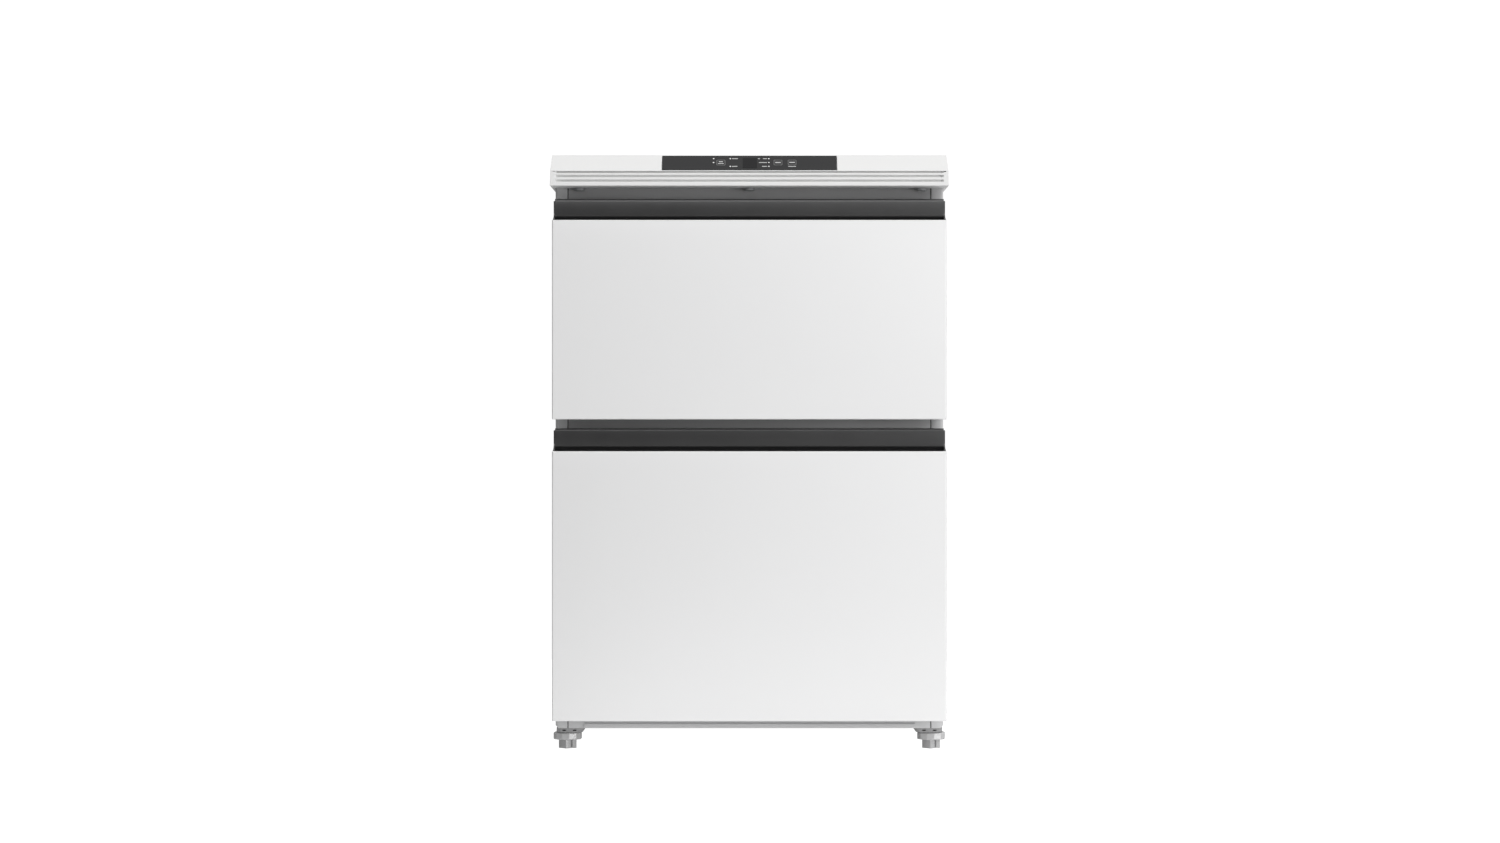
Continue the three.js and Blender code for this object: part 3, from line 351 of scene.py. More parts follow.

# %% [markdown]
# The floor is a plain pale board, 3.4 m square, with a gloss that mirrors the low card onto the feet. To the
# camera it glows up to the white of the dome, so that the appliance stands on white without a hard shadow.
# To the appliance it glows only in front of the feet, and fades beneath the base and off to the left: a
# painted shadow of the appliance on the board, and painted bounce light in front of it. So the lid and the
# base get some light from below, and the feet keep a dark side.

# %% Floor
bpy.ops.mesh.primitive_plane_add(size=3.4, location=(0, 0, -0.0005))
floor = bpy.context.object
floor.name = "studio_floor"
floor_board = grained("floor_board", "floor", (0.4, 0.4, 0.4), 0.16, 5, 0.002, 0.0, 0.02,
                      Emission_Strength=1.0)
direct_view = floor_board.node("ShaderNodeLightPath", output="Is Camera Ray")
spot = floor_board.place()
across = floor_board.node("ShaderNodeSeparateXYZ", {}, {0: spot}, output=0)
ahead = floor_board.node("ShaderNodeSeparateXYZ", {}, {0: spot}, output=1)
# Painted shadow of the appliance: the glow it gets from the board fades off to the left and beneath the base.
from_right = floor_board.node("ShaderNodeMapRange", {}, {
    "Value": across, "From Min": -0.6, "From Max": -0.2})
from_front = floor_board.node("ShaderNodeMapRange", {}, {
    "Value": ahead, "From Min": -0.17, "From Max": -0.23})
# The dim glow is painted shadow, the bright one painted bounce light.
PAINTED_SHADOW_GLOW, PAINTED_BOUNCE_GLOW = (0.12, 0.12, 0.12, 1), (0.56, 0.56, 0.56, 1)
floor_bounce_and_shadow = floor_board.blend(from_right * from_front, PAINTED_SHADOW_GLOW, PAINTED_BOUNCE_GLOW)
floor_board.drive("Emission Color", floor_board.blend(direct_view, floor_bounce_and_shadow, WHITE))
floor.data.materials.append(floor_board.material)
print("floor:", tuple(round(side, 1) for side in floor.dimensions))

# %% [markdown]
# Every piece starts from a Blender primitive and is shaped in edit mode, as by hand. These helpers do the
# steps that a hand does all the time: clear the selection, go into edit mode, and pick faces or edges by
# where they are. A test gets a face's centre and normal, or an edge's middle and its run from end to end, in
# millimetres. Two places count as one when they are less than CLOSE apart.

# %% Bench helpers
CLOSE = 0.01


def clear_selection():
    if bpy.context.mode != "OBJECT":
        bpy.ops.object.mode_set(mode="OBJECT")
    bpy.ops.object.select_all(action="DESELECT")


def take(piece):
    """Select one piece and nothing else."""
    clear_selection()
    piece.select_set(True)
    bpy.context.view_layer.objects.active = piece


def settle(piece, name):
    """Name a new primitive and put its place in its mesh."""
    take(piece)
    bpy.ops.object.transform_apply(location=True, rotation=True, scale=True)
    piece.name = name
    piece.data.name = name
    return piece


def block(name, x, y, z):
    """A box from its spans in millimetres."""
    clear_selection()
    middle = [sum(span) / 2 * MM for span in (x, y, z)]
    size = [abs(span[1] - span[0]) * MM for span in (x, y, z)]
    bpy.ops.mesh.primitive_cube_add(size=1, location=middle, scale=size)
    return settle(bpy.context.object, name)


def edit(piece, mode="FACE"):
    take(piece)
    bpy.ops.object.mode_set(mode="EDIT")
    bpy.ops.mesh.select_mode(type=mode)
    bpy.ops.mesh.select_all(action="DESELECT")


def pick_faces(piece, test):
    """Select the faces for which test(centre, normal) holds."""
    edit(piece, "FACE")
    mesh = bmesh.from_edit_mesh(piece.data)
    for face in mesh.faces:
        if test(face.calc_center_median() / MM, face.normal):
            face.select = True
    mesh.select_flush_mode()
    bmesh.update_edit_mesh(piece.data)


def pick_edges(piece, test):
    """Select the edges for which test(middle, along) holds; along is the edge as a vector."""
    edit(piece, "EDGE")
    mesh = bmesh.from_edit_mesh(piece.data)
    for edge in mesh.edges:
        start, end = (corner.co / MM for corner in edge.verts)
        if test((start + end) / 2, end - start):
            edge.select = True
    mesh.select_flush_mode()
    bmesh.update_edit_mesh(piece.data)


def pick_corners(piece, test):
    """Select the corners for which test(place) holds."""
    edit(piece, "VERT")
    mesh = bmesh.from_edit_mesh(piece.data)
    for corner in mesh.verts:
        if test(corner.co / MM):
            corner.select = True
    mesh.select_flush_mode()
    bmesh.update_edit_mesh(piece.data)


def pick_all(piece, mode="FACE"):
    edit(piece, mode)
    bpy.ops.mesh.select_all(action="SELECT")


def done():
    bpy.ops.object.mode_set(mode="OBJECT")


print("ready: bench helpers")

# %% [markdown]
# Some steps repeat on most pieces: extrude, slice along a plane, round the picked edges, push picked faces
# in or out, cut one solid from another, and round whatever sharp edges are left. Each is one call from here
# on.

# %% Shaping helpers


def extrude(way):
    """Extrude what is picked along a way in millimetres."""
    bpy.ops.mesh.extrude_region_move(TRANSFORM_OT_translate={"value": [value * MM for value in way]})


def slice_picked(point, normal, drop=False):
    """Cut what is picked along a plane, and drop what lies beyond it if asked."""
    bpy.ops.mesh.bisect(plane_co=[value * MM for value in point], plane_no=normal,
                        use_fill=drop, clear_outer=drop)


def slice_whole(piece, point, normal, drop=False):
    pick_all(piece)
    slice_picked(point, normal, drop)


def round_edges(piece, test, radius, segments=4):
    pick_edges(piece, test)
    bpy.ops.mesh.bevel(offset=radius * MM, segments=segments, affect="EDGES")
    done()


def push(piece, test, way, narrow=(1, 1, 1)):
    """Extrude the picked faces along a way in millimetres, then narrow their far end."""
    pick_faces(piece, test)
    extrude(way)
    bpy.ops.transform.resize(value=narrow)
    done()


def apply_modifier(piece, kind, **settings):
    take(piece)
    modifier = piece.modifiers.new(kind.lower(), kind)
    for setting, value in settings.items():
        setattr(modifier, setting, value)
    bpy.ops.object.modifier_apply(modifier=modifier.name)


def carve(piece, *tools):
    """Cut tools out of a piece, and throw the tools away."""
    for tool in tools:
        apply_modifier(piece, "BOOLEAN", operation="DIFFERENCE", solver="EXACT", object=tool)
        bpy.data.objects.remove(tool)
    return piece


def fuse(piece, *others):
    """Make overlapping solids one."""
    for other in others:
        apply_modifier(piece, "BOOLEAN", operation="UNION", solver="EXACT", object=other)
        bpy.data.objects.remove(other)
    return piece


def gather(name, parts):
    """Join separate closed shapes into one piece."""
    clear_selection()
    for part in parts:
        part.select_set(True)
    bpy.context.view_layer.objects.active = parts[0]
    bpy.ops.object.join()
    return settle(bpy.context.object, name)


def soft_edges(piece, width, segments=2, limit=32):
    """A live bevel on the sharp edges, with flat faces kept flat."""
    edge = piece.modifiers.new("soft_edges", "BEVEL")
    edge.width = width * MM
    edge.segments = segments
    edge.limit_method = "ANGLE"
    edge.angle_limit = math.radians(limit)
    edge.harden_normals = True
    piece.data.shade_smooth()


def finish_piece(piece, body, finish, *nodes):
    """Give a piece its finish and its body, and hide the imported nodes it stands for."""
    take(piece)
    piece.data.materials.clear()
    piece.data.materials.append(finish.material)
    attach(piece, body)
    if nodes:
        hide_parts(*nodes)
    print("piece:", piece.name, "on", body, "with", len(piece.data.polygons), "faces")
    return piece


print("ready: shaping helpers")

# %% [markdown]
# ## The drawer fronts
# Each drawer front is one sheet of white enamelled steel, folded back all round like a shallow pan. Its
# front edges have a radius of about 2 mm, and at the top the sheet stops after a short return, where the
# grip's trough begins. A box is sliced where the sheet stops, the unwanted faces go, the front edges are
# rounded, and Solidify gives the steel its thickness inwards.

# %% Front skins
FRONT = -285.0
SKIN_HALF = 280.0
SKIN_BACK = -243.4
SKIN_GAUGE = 1.2
SKIN_RADIUS = 2.2
RETURN = FRONT + 4.4
TROUGH = 28.0


def front_skin(name, node, body):
    low, high = (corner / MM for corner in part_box(node))
    skin = block(name, (-SKIN_HALF, SKIN_HALF), (FRONT, SKIN_BACK), (low.z, high.z))
    slice_whole(skin, (0, RETURN, 0), (0, 1, 0))
    slice_whole(skin, (0, 0, high.z - TROUGH), (0, 0, 1))
    pick_faces(skin, lambda at, to: to.y > 0.9 or (at.y > RETURN and (to.z > 0.9 or (
        at.z > high.z - TROUGH and abs(to.x) > 0.9))))
    bpy.ops.mesh.delete(type="FACE")
    round_edges(skin, lambda at, along: abs(at.y - FRONT) < CLOSE and (
        abs(abs(at.x) - SKIN_HALF) < CLOSE or min(abs(at.z - low.z), abs(at.z - high.z)) < CLOSE),
        SKIN_RADIUS, 5)
    round_edges(skin, lambda at, along: at.y > FRONT + 1 and abs(along.y) > 1 and abs(
        abs(at.x) - SKIN_HALF) < CLOSE and abs(at.z - low.z) < CLOSE, 2.0, 3)
    apply_modifier(skin, "SOLIDIFY", thickness=SKIN_GAUGE * MM, offset=-1)
    soft_edges(skin, 0.25)
    return finish_piece(skin, body, white_paint, node)


front_skin("upper_drawer_skin", "upper_front_panel", "upper_drawer")
front_skin("lower_drawer_skin", "lower_front_panel", "lower_drawer")

# %% [markdown]
# ## The grips
# Across the top of each front runs a dark grey grip of extruded plastic: a lip on top, a wall set back
# 28 mm for the fingers and undercut at its foot, so that it darkens there, and a trough that comes forward
# under the edge of the skin. Its section is drawn as a line of points, as a sheet is folded: one corner is
# extruded from the last. The corners are then rounded, the line is drawn out to full width, and Solidify
# gives the wall. Two end caps close it, each a plate of the same outline.

# %% Grip channels
GRIP_HALF = 279.0
GRIP_WALL = 2.4
GRIP_FACE = FRONT + 28
GRIP_FOOT = GRIP_FACE + 8.2
CAP_WALL = 2.2
ROUND_STEPS = 6


def folded_line(name, x, path, rounds):
    """A line of points in the YZ plane at one X, its inner corners rounded by the radii given."""
    clear_selection()
    bpy.ops.mesh.primitive_plane_add(size=0.002, location=(x * MM, path[0][0] * MM, path[0][1] * MM))
    line = settle(bpy.context.object, name)
    pick_all(line, "VERT")
    bpy.ops.mesh.merge(type="CENTER")
    for (y0, z0), (y1, z1) in zip(path, path[1:]):
        extrude((0, y1 - y0, z1 - z0))
    for (y, z), radius in zip(path, rounds):
        if radius:
            pick_corners(line, lambda at: math.dist((at.y, at.z), (y, z)) < CLOSE)
            bpy.ops.mesh.bevel(offset=radius * MM, segments=ROUND_STEPS, affect="VERTICES")
    done()
    return line


def draw_out(line, length):
    """Pull a line or a plate out along X."""
    pick_all(line, "VERT")
    extrude((length, 0, 0))
    bpy.ops.mesh.select_all(action="SELECT")
    bpy.ops.mesh.normals_make_consistent(inside=False)
    done()


def plate(name, x, thickness, path, rounds):
    """A flat plate in the YZ plane, from its outline."""
    line = folded_line(name, x, path, rounds)
    pick_all(line, "VERT")
    bpy.ops.mesh.edge_face_add()
    done()
    draw_out(line, thickness)
    return line


def grip_channel(name, node, body, height):
    """A grip of the given height from its lip to where the skin starts."""
    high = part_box(node)[1] / MM
    seam = high.z - height
    trough = seam - 23.5
    path = [(SKIN_BACK, high.z), (GRIP_FACE, high.z), (GRIP_FACE, seam + 0.5), (GRIP_FOOT, seam + 0.5),
            (GRIP_FOOT, trough), (FRONT + 5.5, trough), (FRONT + 4.4, seam - 1.6)]
    channel = folded_line(name, -GRIP_HALF + 2, path, [0, 1.5, 8, 0, 6, 5, 0])
    draw_out(channel, 2 * GRIP_HALF - 4)
    apply_modifier(channel, "SOLIDIFY", thickness=GRIP_WALL * MM, offset=1)
    outline = [(SKIN_BACK, high.z - 0.4), (GRIP_FACE + 0.4, high.z - 0.4), (GRIP_FACE + 0.4, seam + 6),
               (FRONT + 5, seam + 1), (FRONT + 5, trough - 1.8), (SKIN_BACK, trough - 1.8)]
    caps = [plate(name + "_cap", x, CAP_WALL, outline, [0, 1.2, 5, 2, 4, 0])
            for x in (-GRIP_HALF, GRIP_HALF - CAP_WALL)]
    grip = gather(name, [channel] + caps)
    soft_edges(grip, 0.25)
    return finish_piece(grip, body, grip_plastic, node)


grip_channel("upper_grip", "upper_handle_channel", "upper_drawer", 29)
grip_channel("lower_grip", "lower_handle_channel", "lower_drawer", 30)

# %% [markdown]
# ## The lid
# The lid is one white moulding. Its front edge is a band with three grooves, and above it the front slopes
# back to the top. It starts as a box: one slice makes the slope, and two rings of cuts let the sides lean in
# a little, as a moulding must to leave its mould. The grooves are cut into the front face, one after the
# other, and pushed in with slanted ends. The pocket for the cabinet, the bed of the worktop and the seat
# of the control strip are cut out as a cutter would.

# %% Lid body
LID_HALF = 283.0
LID_LOW, SLOPE_FOOT, LID_TOP = 805.0, 826.0, 850.0
SLOPE_RUN = 29.0
SLOPE_RISE = LID_TOP - SLOPE_FOOT
SLOPE_LENGTH = math.hypot(SLOPE_RUN, SLOPE_RISE)
SLOPE_ANGLE = math.atan2(SLOPE_RISE, SLOPE_RUN)

lid = block("lid", (-LID_HALF, LID_HALF), (FRONT, -FRONT), (LID_LOW, LID_TOP))
slice_whole(lid, (0, FRONT, SLOPE_FOOT), (0, -SLOPE_RISE, SLOPE_RUN), drop=True)
slice_whole(lid, (0, 0, SLOPE_FOOT), (0, 0, 1))
for level, lean in ((SLOPE_FOOT, 0.9975), (LID_TOP, 0.9945)):
    pick_corners(lid, lambda at: at.z > level - CLOSE)
    bpy.ops.transform.resize(value=(lean, 1, 1), center_override=(0, 0, 0))
done()
print("lid body:", [round(side / MM, 1) for side in lid.dimensions])

# %% Grooves of the lid
GROOVE_HALF = 275.6
GROOVE_DEPTH = 4.6
GROOVES = [(810.4, 813.6), (816.8, 820.1), (822.9, 825.4)]


def is_front(at, to):
    return to.y < -0.95 and abs(at.y - FRONT) < 0.1


for groove in GROOVES:
    for level in groove:
        pick_faces(lid, lambda at, to: is_front(at, to) and at.z < SLOPE_FOOT)
        slice_picked((0, 0, level), (0, 0, 1))
for side in (-1, 1):
    for low, high in GROOVES:
        pick_faces(lid, lambda at, to: is_front(at, to) and low < at.z < high)
        slice_picked((side * GROOVE_HALF, 0, 0), (1, 0, 0))
for low, high in GROOVES:
    push(lid, lambda at, to: is_front(at, to) and low < at.z < high and abs(at.x) < GROOVE_HALF,
         (0, GROOVE_DEPTH, 0.4), (0.99, 1, 0.6))
print("lid with grooves:", len(lid.data.polygons), "faces")

# %% Pockets of the lid
STRIP_HALF, STRIP_FIT = 124.0, 0.6
STRIP_LOW = SLOPE_LENGTH - 36


def lay_on_slope(piece):
    """Turn a piece drawn flat, with its lower edge at Y 0 and its top at Z 0, and lay it on the slope."""
    piece.rotation_euler.x = SLOPE_ANGLE
    piece.location = (0, FRONT * MM, SLOPE_FOOT * MM)
    return settle(piece, piece.name)


cabinet_pocket = block("pocket", (-279, 279), (-227.6, 281), (700, 840))
worktop_bed = block("bed", (-272.4, 272.4), (-246.4, 275.4), (844.6, 860))
strip_seat = lay_on_slope(block("seat", (-STRIP_HALF - STRIP_FIT, STRIP_HALF + STRIP_FIT),
                                (1.24, SLOPE_LENGTH + 3), (-1.5, 4)))
board_room = lay_on_slope(block("room", (-112, 112), (SLOPE_LENGTH / 2 - 13, SLOPE_LENGTH / 2 + 11),
                                (-20, 0)))
carve(lid, cabinet_pocket, worktop_bed, strip_seat, board_room)
soft_edges(lid, 0.45, 3, 25)
finish_piece(lid, "cabinet", lid_plastic, "top_cover")

# %% [markdown]
# ## The control strip
# The strip lies flush in the slope. It is drawn flat, as a maker would lay out a touch panel, and then laid
# on the slope. The keys are printed outlines, and plain dashes stand for all lettering. Each mark is a thin
# closed solid on the acrylic, so it stays crisp at any distance.

# %% Strip and display
MARK_LEVEL = 0.02
strip = lay_on_slope(block("control_strip", (-STRIP_HALF, STRIP_HALF), (STRIP_LOW, SLOPE_LENGTH - 0.5),
                           (-1.2, 0)))
soft_edges(strip, 0.25, 3)
finish_piece(strip, "cabinet", strip_acrylic, "control_overlay")


def flat_mark(name, x, y, radius, thickness=0.16):
    """A thin plate with rounded corners, drawn flat, just clear of the strip."""
    mark = block(name, x, y, (MARK_LEVEL, MARK_LEVEL + thickness))
    round_edges(mark, lambda at, along: abs(along.z) > CLOSE, radius, 3)
    return mark


display = lay_on_slope(flat_mark("display_window", (-9.4, 10.8), (6.6, 31.0), 1.0, 0.2))
soft_edges(display, 0.06)
finish_piece(display, "cabinet", display_glass)

# %% Printed keys and dashes
ROWS = {"high": 29.3, "middle": 19.9, "low": 10.5}
KEY_SIDE, KEY_END = 0.8, 1.0


def key_outline(x, y):
    """A printed key: a rounded outline, a little thicker along its ends."""
    outer = flat_mark("key", x, y, 1.4)
    inner = block("key_inside", (x[0] + KEY_SIDE, x[1] - KEY_SIDE), (y[0] + KEY_END, y[1] - KEY_END),
                  (-1, 1))
    return carve(outer, inner)


def dash(x0, x1, row, height=1.7):
    return flat_mark("dash", (x0, x1), (row - height / 2, row + height / 2), 0.4)


outlines = [key_outline((-46.6, -34.2), (13.0, 26.4)), key_outline((34.6, 46.8), (13.4, 26.4)),
            key_outline((54.7, 66.8), (14.0, 26.4))]
finish_piece(lay_on_slope(gather("key_outlines", outlines)), "cabinet", outline_ink)
key_dashes = [dash(-43.5, -37.5, 22.0, 2.0), dash(-44.5, -36.5, 17.4, 1.6), dash(36.8, 44.6, 19.9, 2.4),
              dash(56.9, 64.6, 20.2, 2.4), dash(55.2, 66.3, ROWS["low"])]
left_dashes = [dash(-24.7, -16.2, ROWS["high"]), dash(-24.7, -17.0, ROWS["low"])]
right_dashes = [dash(12.2, 15.0, ROWS["high"]), dash(19.3, 25.2, ROWS["high"]),
                dash(13.6, 25.0, ROWS["middle"]), dash(17.9, 25.0, ROWS["low"])]
control_marks = lay_on_slope(gather("control_marks", key_dashes + left_dashes + right_dashes))
finish_piece(control_marks, "cabinet", printed_ink)

# %% Lamps
LAMP_RADIUS, LAMP_DEPTH = 1.15, 0.3
LAMP_COLUMNS = {-50.9: ("high", "middle"), -27.1: ("high", "low"), 27.6: ("high", "middle", "low")}


def lamp(x, y):
    """A small round lens, domed at its rim."""
    clear_selection()
    bpy.ops.mesh.primitive_cylinder_add(vertices=20, radius=LAMP_RADIUS * MM, depth=LAMP_DEPTH * MM,
                                        location=(x * MM, y * MM, (MARK_LEVEL + LAMP_DEPTH / 2) * MM))
    lens = settle(bpy.context.object, "lamp")
    round_edges(lens, lambda at, along: at.z > LAMP_DEPTH and abs(along.z) < CLOSE, 0.12, 2)
    return lens


lamps = [lamp(x, ROWS[row]) for x, rows in LAMP_COLUMNS.items() for row in rows]
finish_piece(lay_on_slope(gather("control_lamps", lamps)), "cabinet", lamp_lens)

# %% [markdown]
# ## Shaded seams
# Where a cross rail meets the fold of a side panel, a dark strip fills the hollow of the fold almost to the
# face, so that the seam shows as a thin dark line. The strip is painted shade: it stands in for the shadow in
# the narrow gap of the seam.

# %% Painted shade in the seams
SEAM_INNER, SEAM_OUTER = 259.42, 261.0
SEAM_DEPTH = (-226.75, -223.2)
seam_shade_parts = []
for rail in ("top_rail", "mullion_rail", "bottom_rail"):
    low, high = (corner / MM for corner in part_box(rail))
    for side in (-1, 1):
        seam_shade_parts.append(block("seam_shade_part", (side * SEAM_INNER, side * SEAM_OUTER), SEAM_DEPTH, (low.z, high.z)))
# A dark strip in each seam: painted shade for the shadow in the gap.
seam_shade_strips = gather("seam_shade_strips", seam_shade_parts)
soft_edges(seam_shade_strips, 0.15)
finish_piece(seam_shade_strips, "cabinet", dark_plastic)

# %% [markdown]
# ## Turned parts
# Caps, screws, feet and stems are turned: round about an axis. Each starts as a filled circle, and the
# profile is climbed step by step: extrude to the next height, then scale to the next radius.

# %% A turning helper


def turned(name, centre, profile, sides=32, turn=0.0):
    """A closed round solid about a vertical axis, from (radius, height) pairs in millimetres."""
    clear_selection()
    (radius, height), rest = profile[0], profile[1:]
    bpy.ops.mesh.primitive_circle_add(vertices=sides, radius=radius * MM, fill_type="NGON",
                                      location=(centre[0] * MM, centre[1] * MM, (centre[2] + height) * MM),
                                      rotation=(0, 0, math.radians(turn)))
    solid = settle(bpy.context.object, name)
    pick_all(solid)
    for next_radius, next_height in rest:
        extrude((0, 0, next_height - height))
        share = next_radius / radius
        bpy.ops.transform.resize(value=(share, share, 1))
        radius, height = next_radius, next_height
    bpy.ops.mesh.select_all(action="SELECT")
    bpy.ops.mesh.normals_make_consistent(inside=False)
    done()
    return solid


def copies(name, piece, places):
    """One model repeated at each place, given as steps in millimetres from where it stands."""
    parts = []
    for step in places:
        take(piece)
        bpy.ops.object.duplicate()
        bpy.ops.transform.translate(value=[value * MM for value in step])
        parts.append(settle(bpy.context.object, name + "_part"))
    bpy.data.objects.remove(piece)
    return gather(name, parts)


print("ready: turned and copies")

# %% Screw caps under the lid
CAP_Y, CAP_TOP, DIMPLE = -236.0, 804.7, 1.2
cap = turned("cap", (0, CAP_Y, CAP_TOP), [(6.0, -4.2), (7.0, -3.4), (7.2, -2.8), (7.2, 0)])
push(cap, lambda at, to: to.z < -0.9, (0, 0, 0), (0.55, 0.55, 1))
push(cap, lambda at, to: to.z < -0.9 and math.hypot(at.x, at.y - CAP_Y) < 1, (0, 0, DIMPLE), (0.8, 0.8, 1))
lid_caps = copies("lid_screw_caps", cap, [(-243, 0, 0), (0, 0, 0), (246, 0, 0)])
soft_edges(lid_caps, 0.2)
finish_piece(lid_caps, "cabinet", grey_plastic)

# %% [markdown]
# ## The screw feet
# A foot is a moulded post with a slot for a key, a wide twelve-sided flange that fingers can turn, and a
# threaded stem that goes up into its bracket. When the foot is screwed out, 15 mm of the thread shows.

# %% Feet
FOOT_X, FOOT_Y = 262.0, -197.0
POST_HALF, POST_TURN = 9.5, -51
FLANGE_TURN = -80
THREAD_TURNS, THREAD_PITCH = 12, 2.0


def screw_foot(name, x, node, body):
    post = block(name, (-POST_HALF, POST_HALF), (-POST_HALF, POST_HALF), (0, 13.6))
    round_edges(post, lambda at, along: abs(along.z) > 1, 1.2, 3)
    carve(post, block("slot", (6.5, 11), (-1.7, 1.7), (2, 13)))
    post.rotation_euler.z = math.radians(POST_TURN)
    post.location = (x * MM, FOOT_Y * MM, 0)
    settle(post, name)
    rim = [(19.6, 13), (20.5, 14), (20.5, 21.8), (19.4, 23)]
    flange = turned("flange", (x, FOOT_Y, 0), rim, 12, FLANGE_TURN)
    ridges = []
    for rise in [turn * THREAD_PITCH for turn in range(THREAD_TURNS)]:
        ridges += [(3.5, 24.5 + rise), (4.0, 25.3 + rise)]
    stem = turned("stem", (x, FOOT_Y, 0), [(3.5, 22)] + ridges + [(3.2, 50)], 20)
    fuse(post, flange, stem)
    soft_edges(post, 0.35, 3, 25)
    return finish_piece(post, body, foot_nylon, node)


screw_foot("left_screw_foot", -FOOT_X, "foot_left", "left_foot")
screw_foot("right_screw_foot", FOOT_X, "foot_right", "right_foot")

# %% [markdown]
# ## The back
# The back is a galvanised sheet with pressed panels that keep it from drumming. A thin plate is sliced where
# each panel begins, and the panels are pushed out with sloping sides. Washer-head screws hold the sheet and
# the grille below it. One screw is modelled and copied.

# %% Back panel
SHEET_Y = (272.6, 273.6)
PRESSED = 1.1
PANELS_X = [(-236, -92), (-72, 72), (92, 236)]
PANELS_Z = [(262, 500), (530, 770)]
back_low, back_high = (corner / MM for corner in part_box("back_panel"))
sheet = block("back_sheet", (back_low.x, back_high.x), SHEET_Y, (back_low.z, back_high.z))
for wall in [edge for span in PANELS_X for edge in span]:
    slice_whole(sheet, (wall, 0, 0), (1, 0, 0))
for wall in [edge for span in PANELS_Z for edge in span]:
    slice_whole(sheet, (0, 0, wall), (0, 0, 1))
for x0, x1 in PANELS_X:
    for z0, z1 in PANELS_Z:
        push(sheet, lambda at, to: to.y > 0.9 and x0 < at.x < x1 and z0 < at.z < z1,
             (0, PRESSED, 0), (0.95, 1, 0.97))
soft_edges(sheet, 0.3, 3, 20)
finish_piece(sheet, "cabinet", zinc, "back_panel")

# %% Screws of the back
SLOT_LONG, SLOT_WIDE, SLOT_DEPTH = (-2.0, 2.0), (-0.4, 0.4), (1.6, 4)
ON_SHEET, ON_GRILLE = 273.7, 276.9
head = turned("head", (0, 0, 0), [(4.6, 0), (4.6, 0.6), (3.1, 0.9), (3.1, 2.2), (2.7, 2.6)], 12)
carve(head, block("cross", SLOT_LONG, SLOT_WIDE, SLOT_DEPTH),
      block("cross", SLOT_WIDE, SLOT_LONG, SLOT_DEPTH))
head.rotation_euler.x = math.radians(-90)
settle(head, "head")
sheet_screws = [(x, ON_SHEET, z) for x in (-262, 0, 262) for z in (240, 515, 800)]
grille_screws = [(x, ON_GRILLE, z) for x in (-262, -142, 142, 262) for z in (43, 222)]
back_screws = copies("back_screws", head, sheet_screws + grille_screws)
finish_piece(back_screws, "cabinet", rolled)

# %% [markdown]
# ## Slide balls
# Each drawer runs on telescopic slides. Steel balls roll between the fixed and the middle rail, and smaller
# ones between the middle rail and the drawer's own. A cage keeps them in the front third of each rail, where
# they stay between both rails at any opening. One ball is modelled and copied.

# %% Balls
BALLS_A_ROW, BALL_STEP = 10, 13.0


def ball_row(name, drawer, body, x, radius, offset, first):
    """Balls above and below the middle of both slides, from the first one's Y backwards."""
    low, high = (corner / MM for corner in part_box(f"{drawer}_fixed_rail_right"))
    middle = (low.z + high.z) / 2
    clear_selection()
    bpy.ops.mesh.primitive_uv_sphere_add(segments=12, ring_count=8, radius=radius * MM,
                                         location=(0, first * MM, middle * MM))
    ball = settle(bpy.context.object, "ball")
    ball.data.shade_smooth()
    places = [(side * x, step * BALL_STEP, rise * offset)
              for side in (-1, 1) for step in range(BALLS_A_ROW) for rise in (-1, 1)]
    return finish_piece(copies(name, ball, places), body, rolled)


for drawer in ("upper", "lower"):
    ball_row(f"{drawer}_outer_balls", drawer, "cabinet", 226.0, 1.75, 14.45, -198)
    ball_row(f"{drawer}_inner_balls", drawer, f"{drawer}_middle_rails", 224.4, 1.15, 10.1, -202)

# %% [markdown]
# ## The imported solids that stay
# Most inner parts are already right in shape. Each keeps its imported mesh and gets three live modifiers: Weld
# joins the loose triangles, Decimate makes each flat face one again, and Bevel rounds the edges that a press
# or a mould would round. Sheet metal gets a few tenths of a millimetre, moulded parts more. Wide galvanised
# sheets are shaded flat, because smooth shading would spread the slant of an edge over the whole sheet.

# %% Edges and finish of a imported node


def dress(node, finish, width, segments=2):
    part = frame["nodes"][node]
    weld = part.modifiers.new("join_triangles", "WELD")
    weld.merge_threshold = 0.02 * MM
    flat = part.modifiers.new("flat_faces", "DECIMATE")
    flat.decimate_type = "DISSOLVE"
    flat.angle_limit = math.radians(0.5)
    soft_edges(part, width, segments)
    part.data.materials.clear()
    part.data.materials.append(finish.material)
    return part


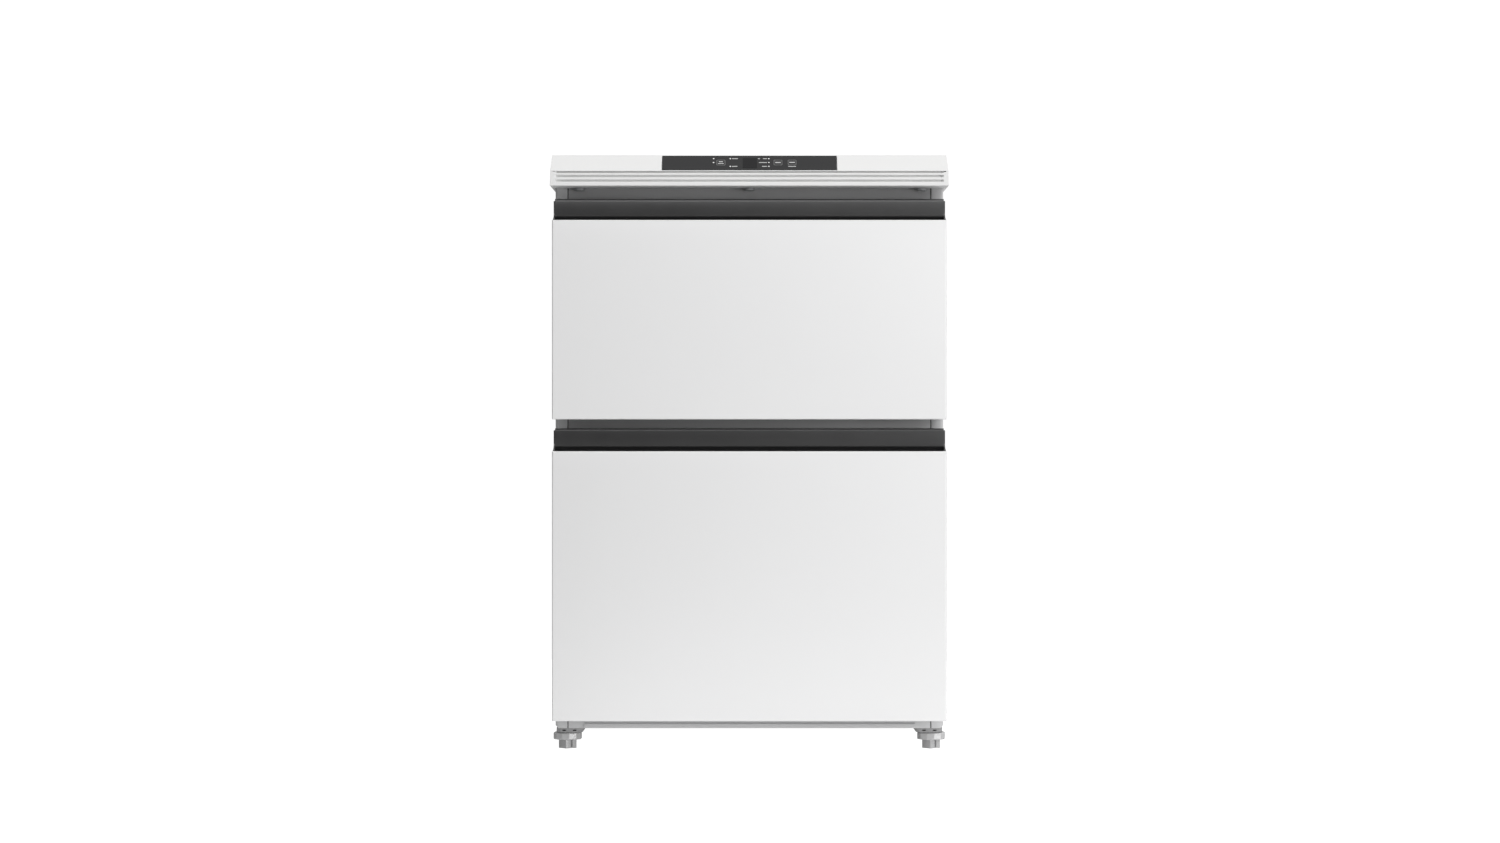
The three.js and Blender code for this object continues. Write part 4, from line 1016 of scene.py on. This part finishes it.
def dress_pair(stem, finish, width, segments=2):
    for side in ("left", "right"):
        dress(f"{stem}_{side}", finish, width, segments)


print("ready: dress")

# %% Cabinet shell
dress_pair("side_panel", shell_paint, 0.25)
dress("bottom_rail", shell_paint, 0.2)
# The mullion and top rails, in the gaps between the drawers, get the darker copy of the enamel: painted shade.
for rail in ("mullion_rail", "top_rail"):
    dress(rail, gap_shade_paint, 0.2)
dress("cabinet_foam", core_foam, 0.5, 1)
for plain_sheet in ("base_pan", "rear_grille", "compressor_tray"):
    dress(plain_sheet, zinc, 0.2, 1).data.shade_flat()
dress("power_inlet", dark_plastic, 0.4)
dress("upper_liner", liner_plastic, 0.5)
dress("lower_liner", liner_plastic, 0.5)
print("cabinet dressed")

# %% Lid and controls
dress("worktop_panel", lid_plastic, 0.8, 3)
dress("control_board", board_lacquer, 0.2, 1)
print("lid and controls dressed")

# %% Drawers
for drawer in ("upper", "lower"):
    dress(f"{drawer}_front_insulation", core_foam, 0.5, 1)
    dress(f"{drawer}_inner_door", liner_plastic, 0.6, 3)
    dress(f"{drawer}_gasket", gasket_rubber, 1.2, 3)
    dress(f"{drawer}_bin", bin_plastic, 0.8, 3)
    for rail in ("runner", "middle_rail", "fixed_rail"):
        dress_pair(f"{drawer}_{rail}", rolled, 0.2, 1)
print("drawers dressed")

# %% Feet, rollers and cooling machine
dress_pair("foot_bracket", bracket_plastic, 0.7, 3)
dress_pair("roller", roller_rubber, 1.0, 3)
dress("compressor", pot_paint, 0.8, 3)
dress("terminal_cover", dark_plastic, 1.0, 3)
dress("drip_tray", grey_plastic, 0.5)
dress("condenser", foil, 0.15, 1)
dress("evaporator", foil, 0.15, 1)
dress("condenser_fan_frame", dark_plastic, 0.5)
dress("condenser_fan_blade", dark_plastic, 0.2, 1)
dress("evaporator_fan_motor", dark_plastic, 0.5)
dress("evaporator_fan_blade", liner_plastic, 0.2, 1)
dress("filter_drier", copper, 0.3)
dress("suction_tube", copper, 0.2, 1)
dress("evaporator_cover", liner_plastic, 0.3)
dress("lower_air_duct", liner_plastic, 0.3)
print("machine dressed")
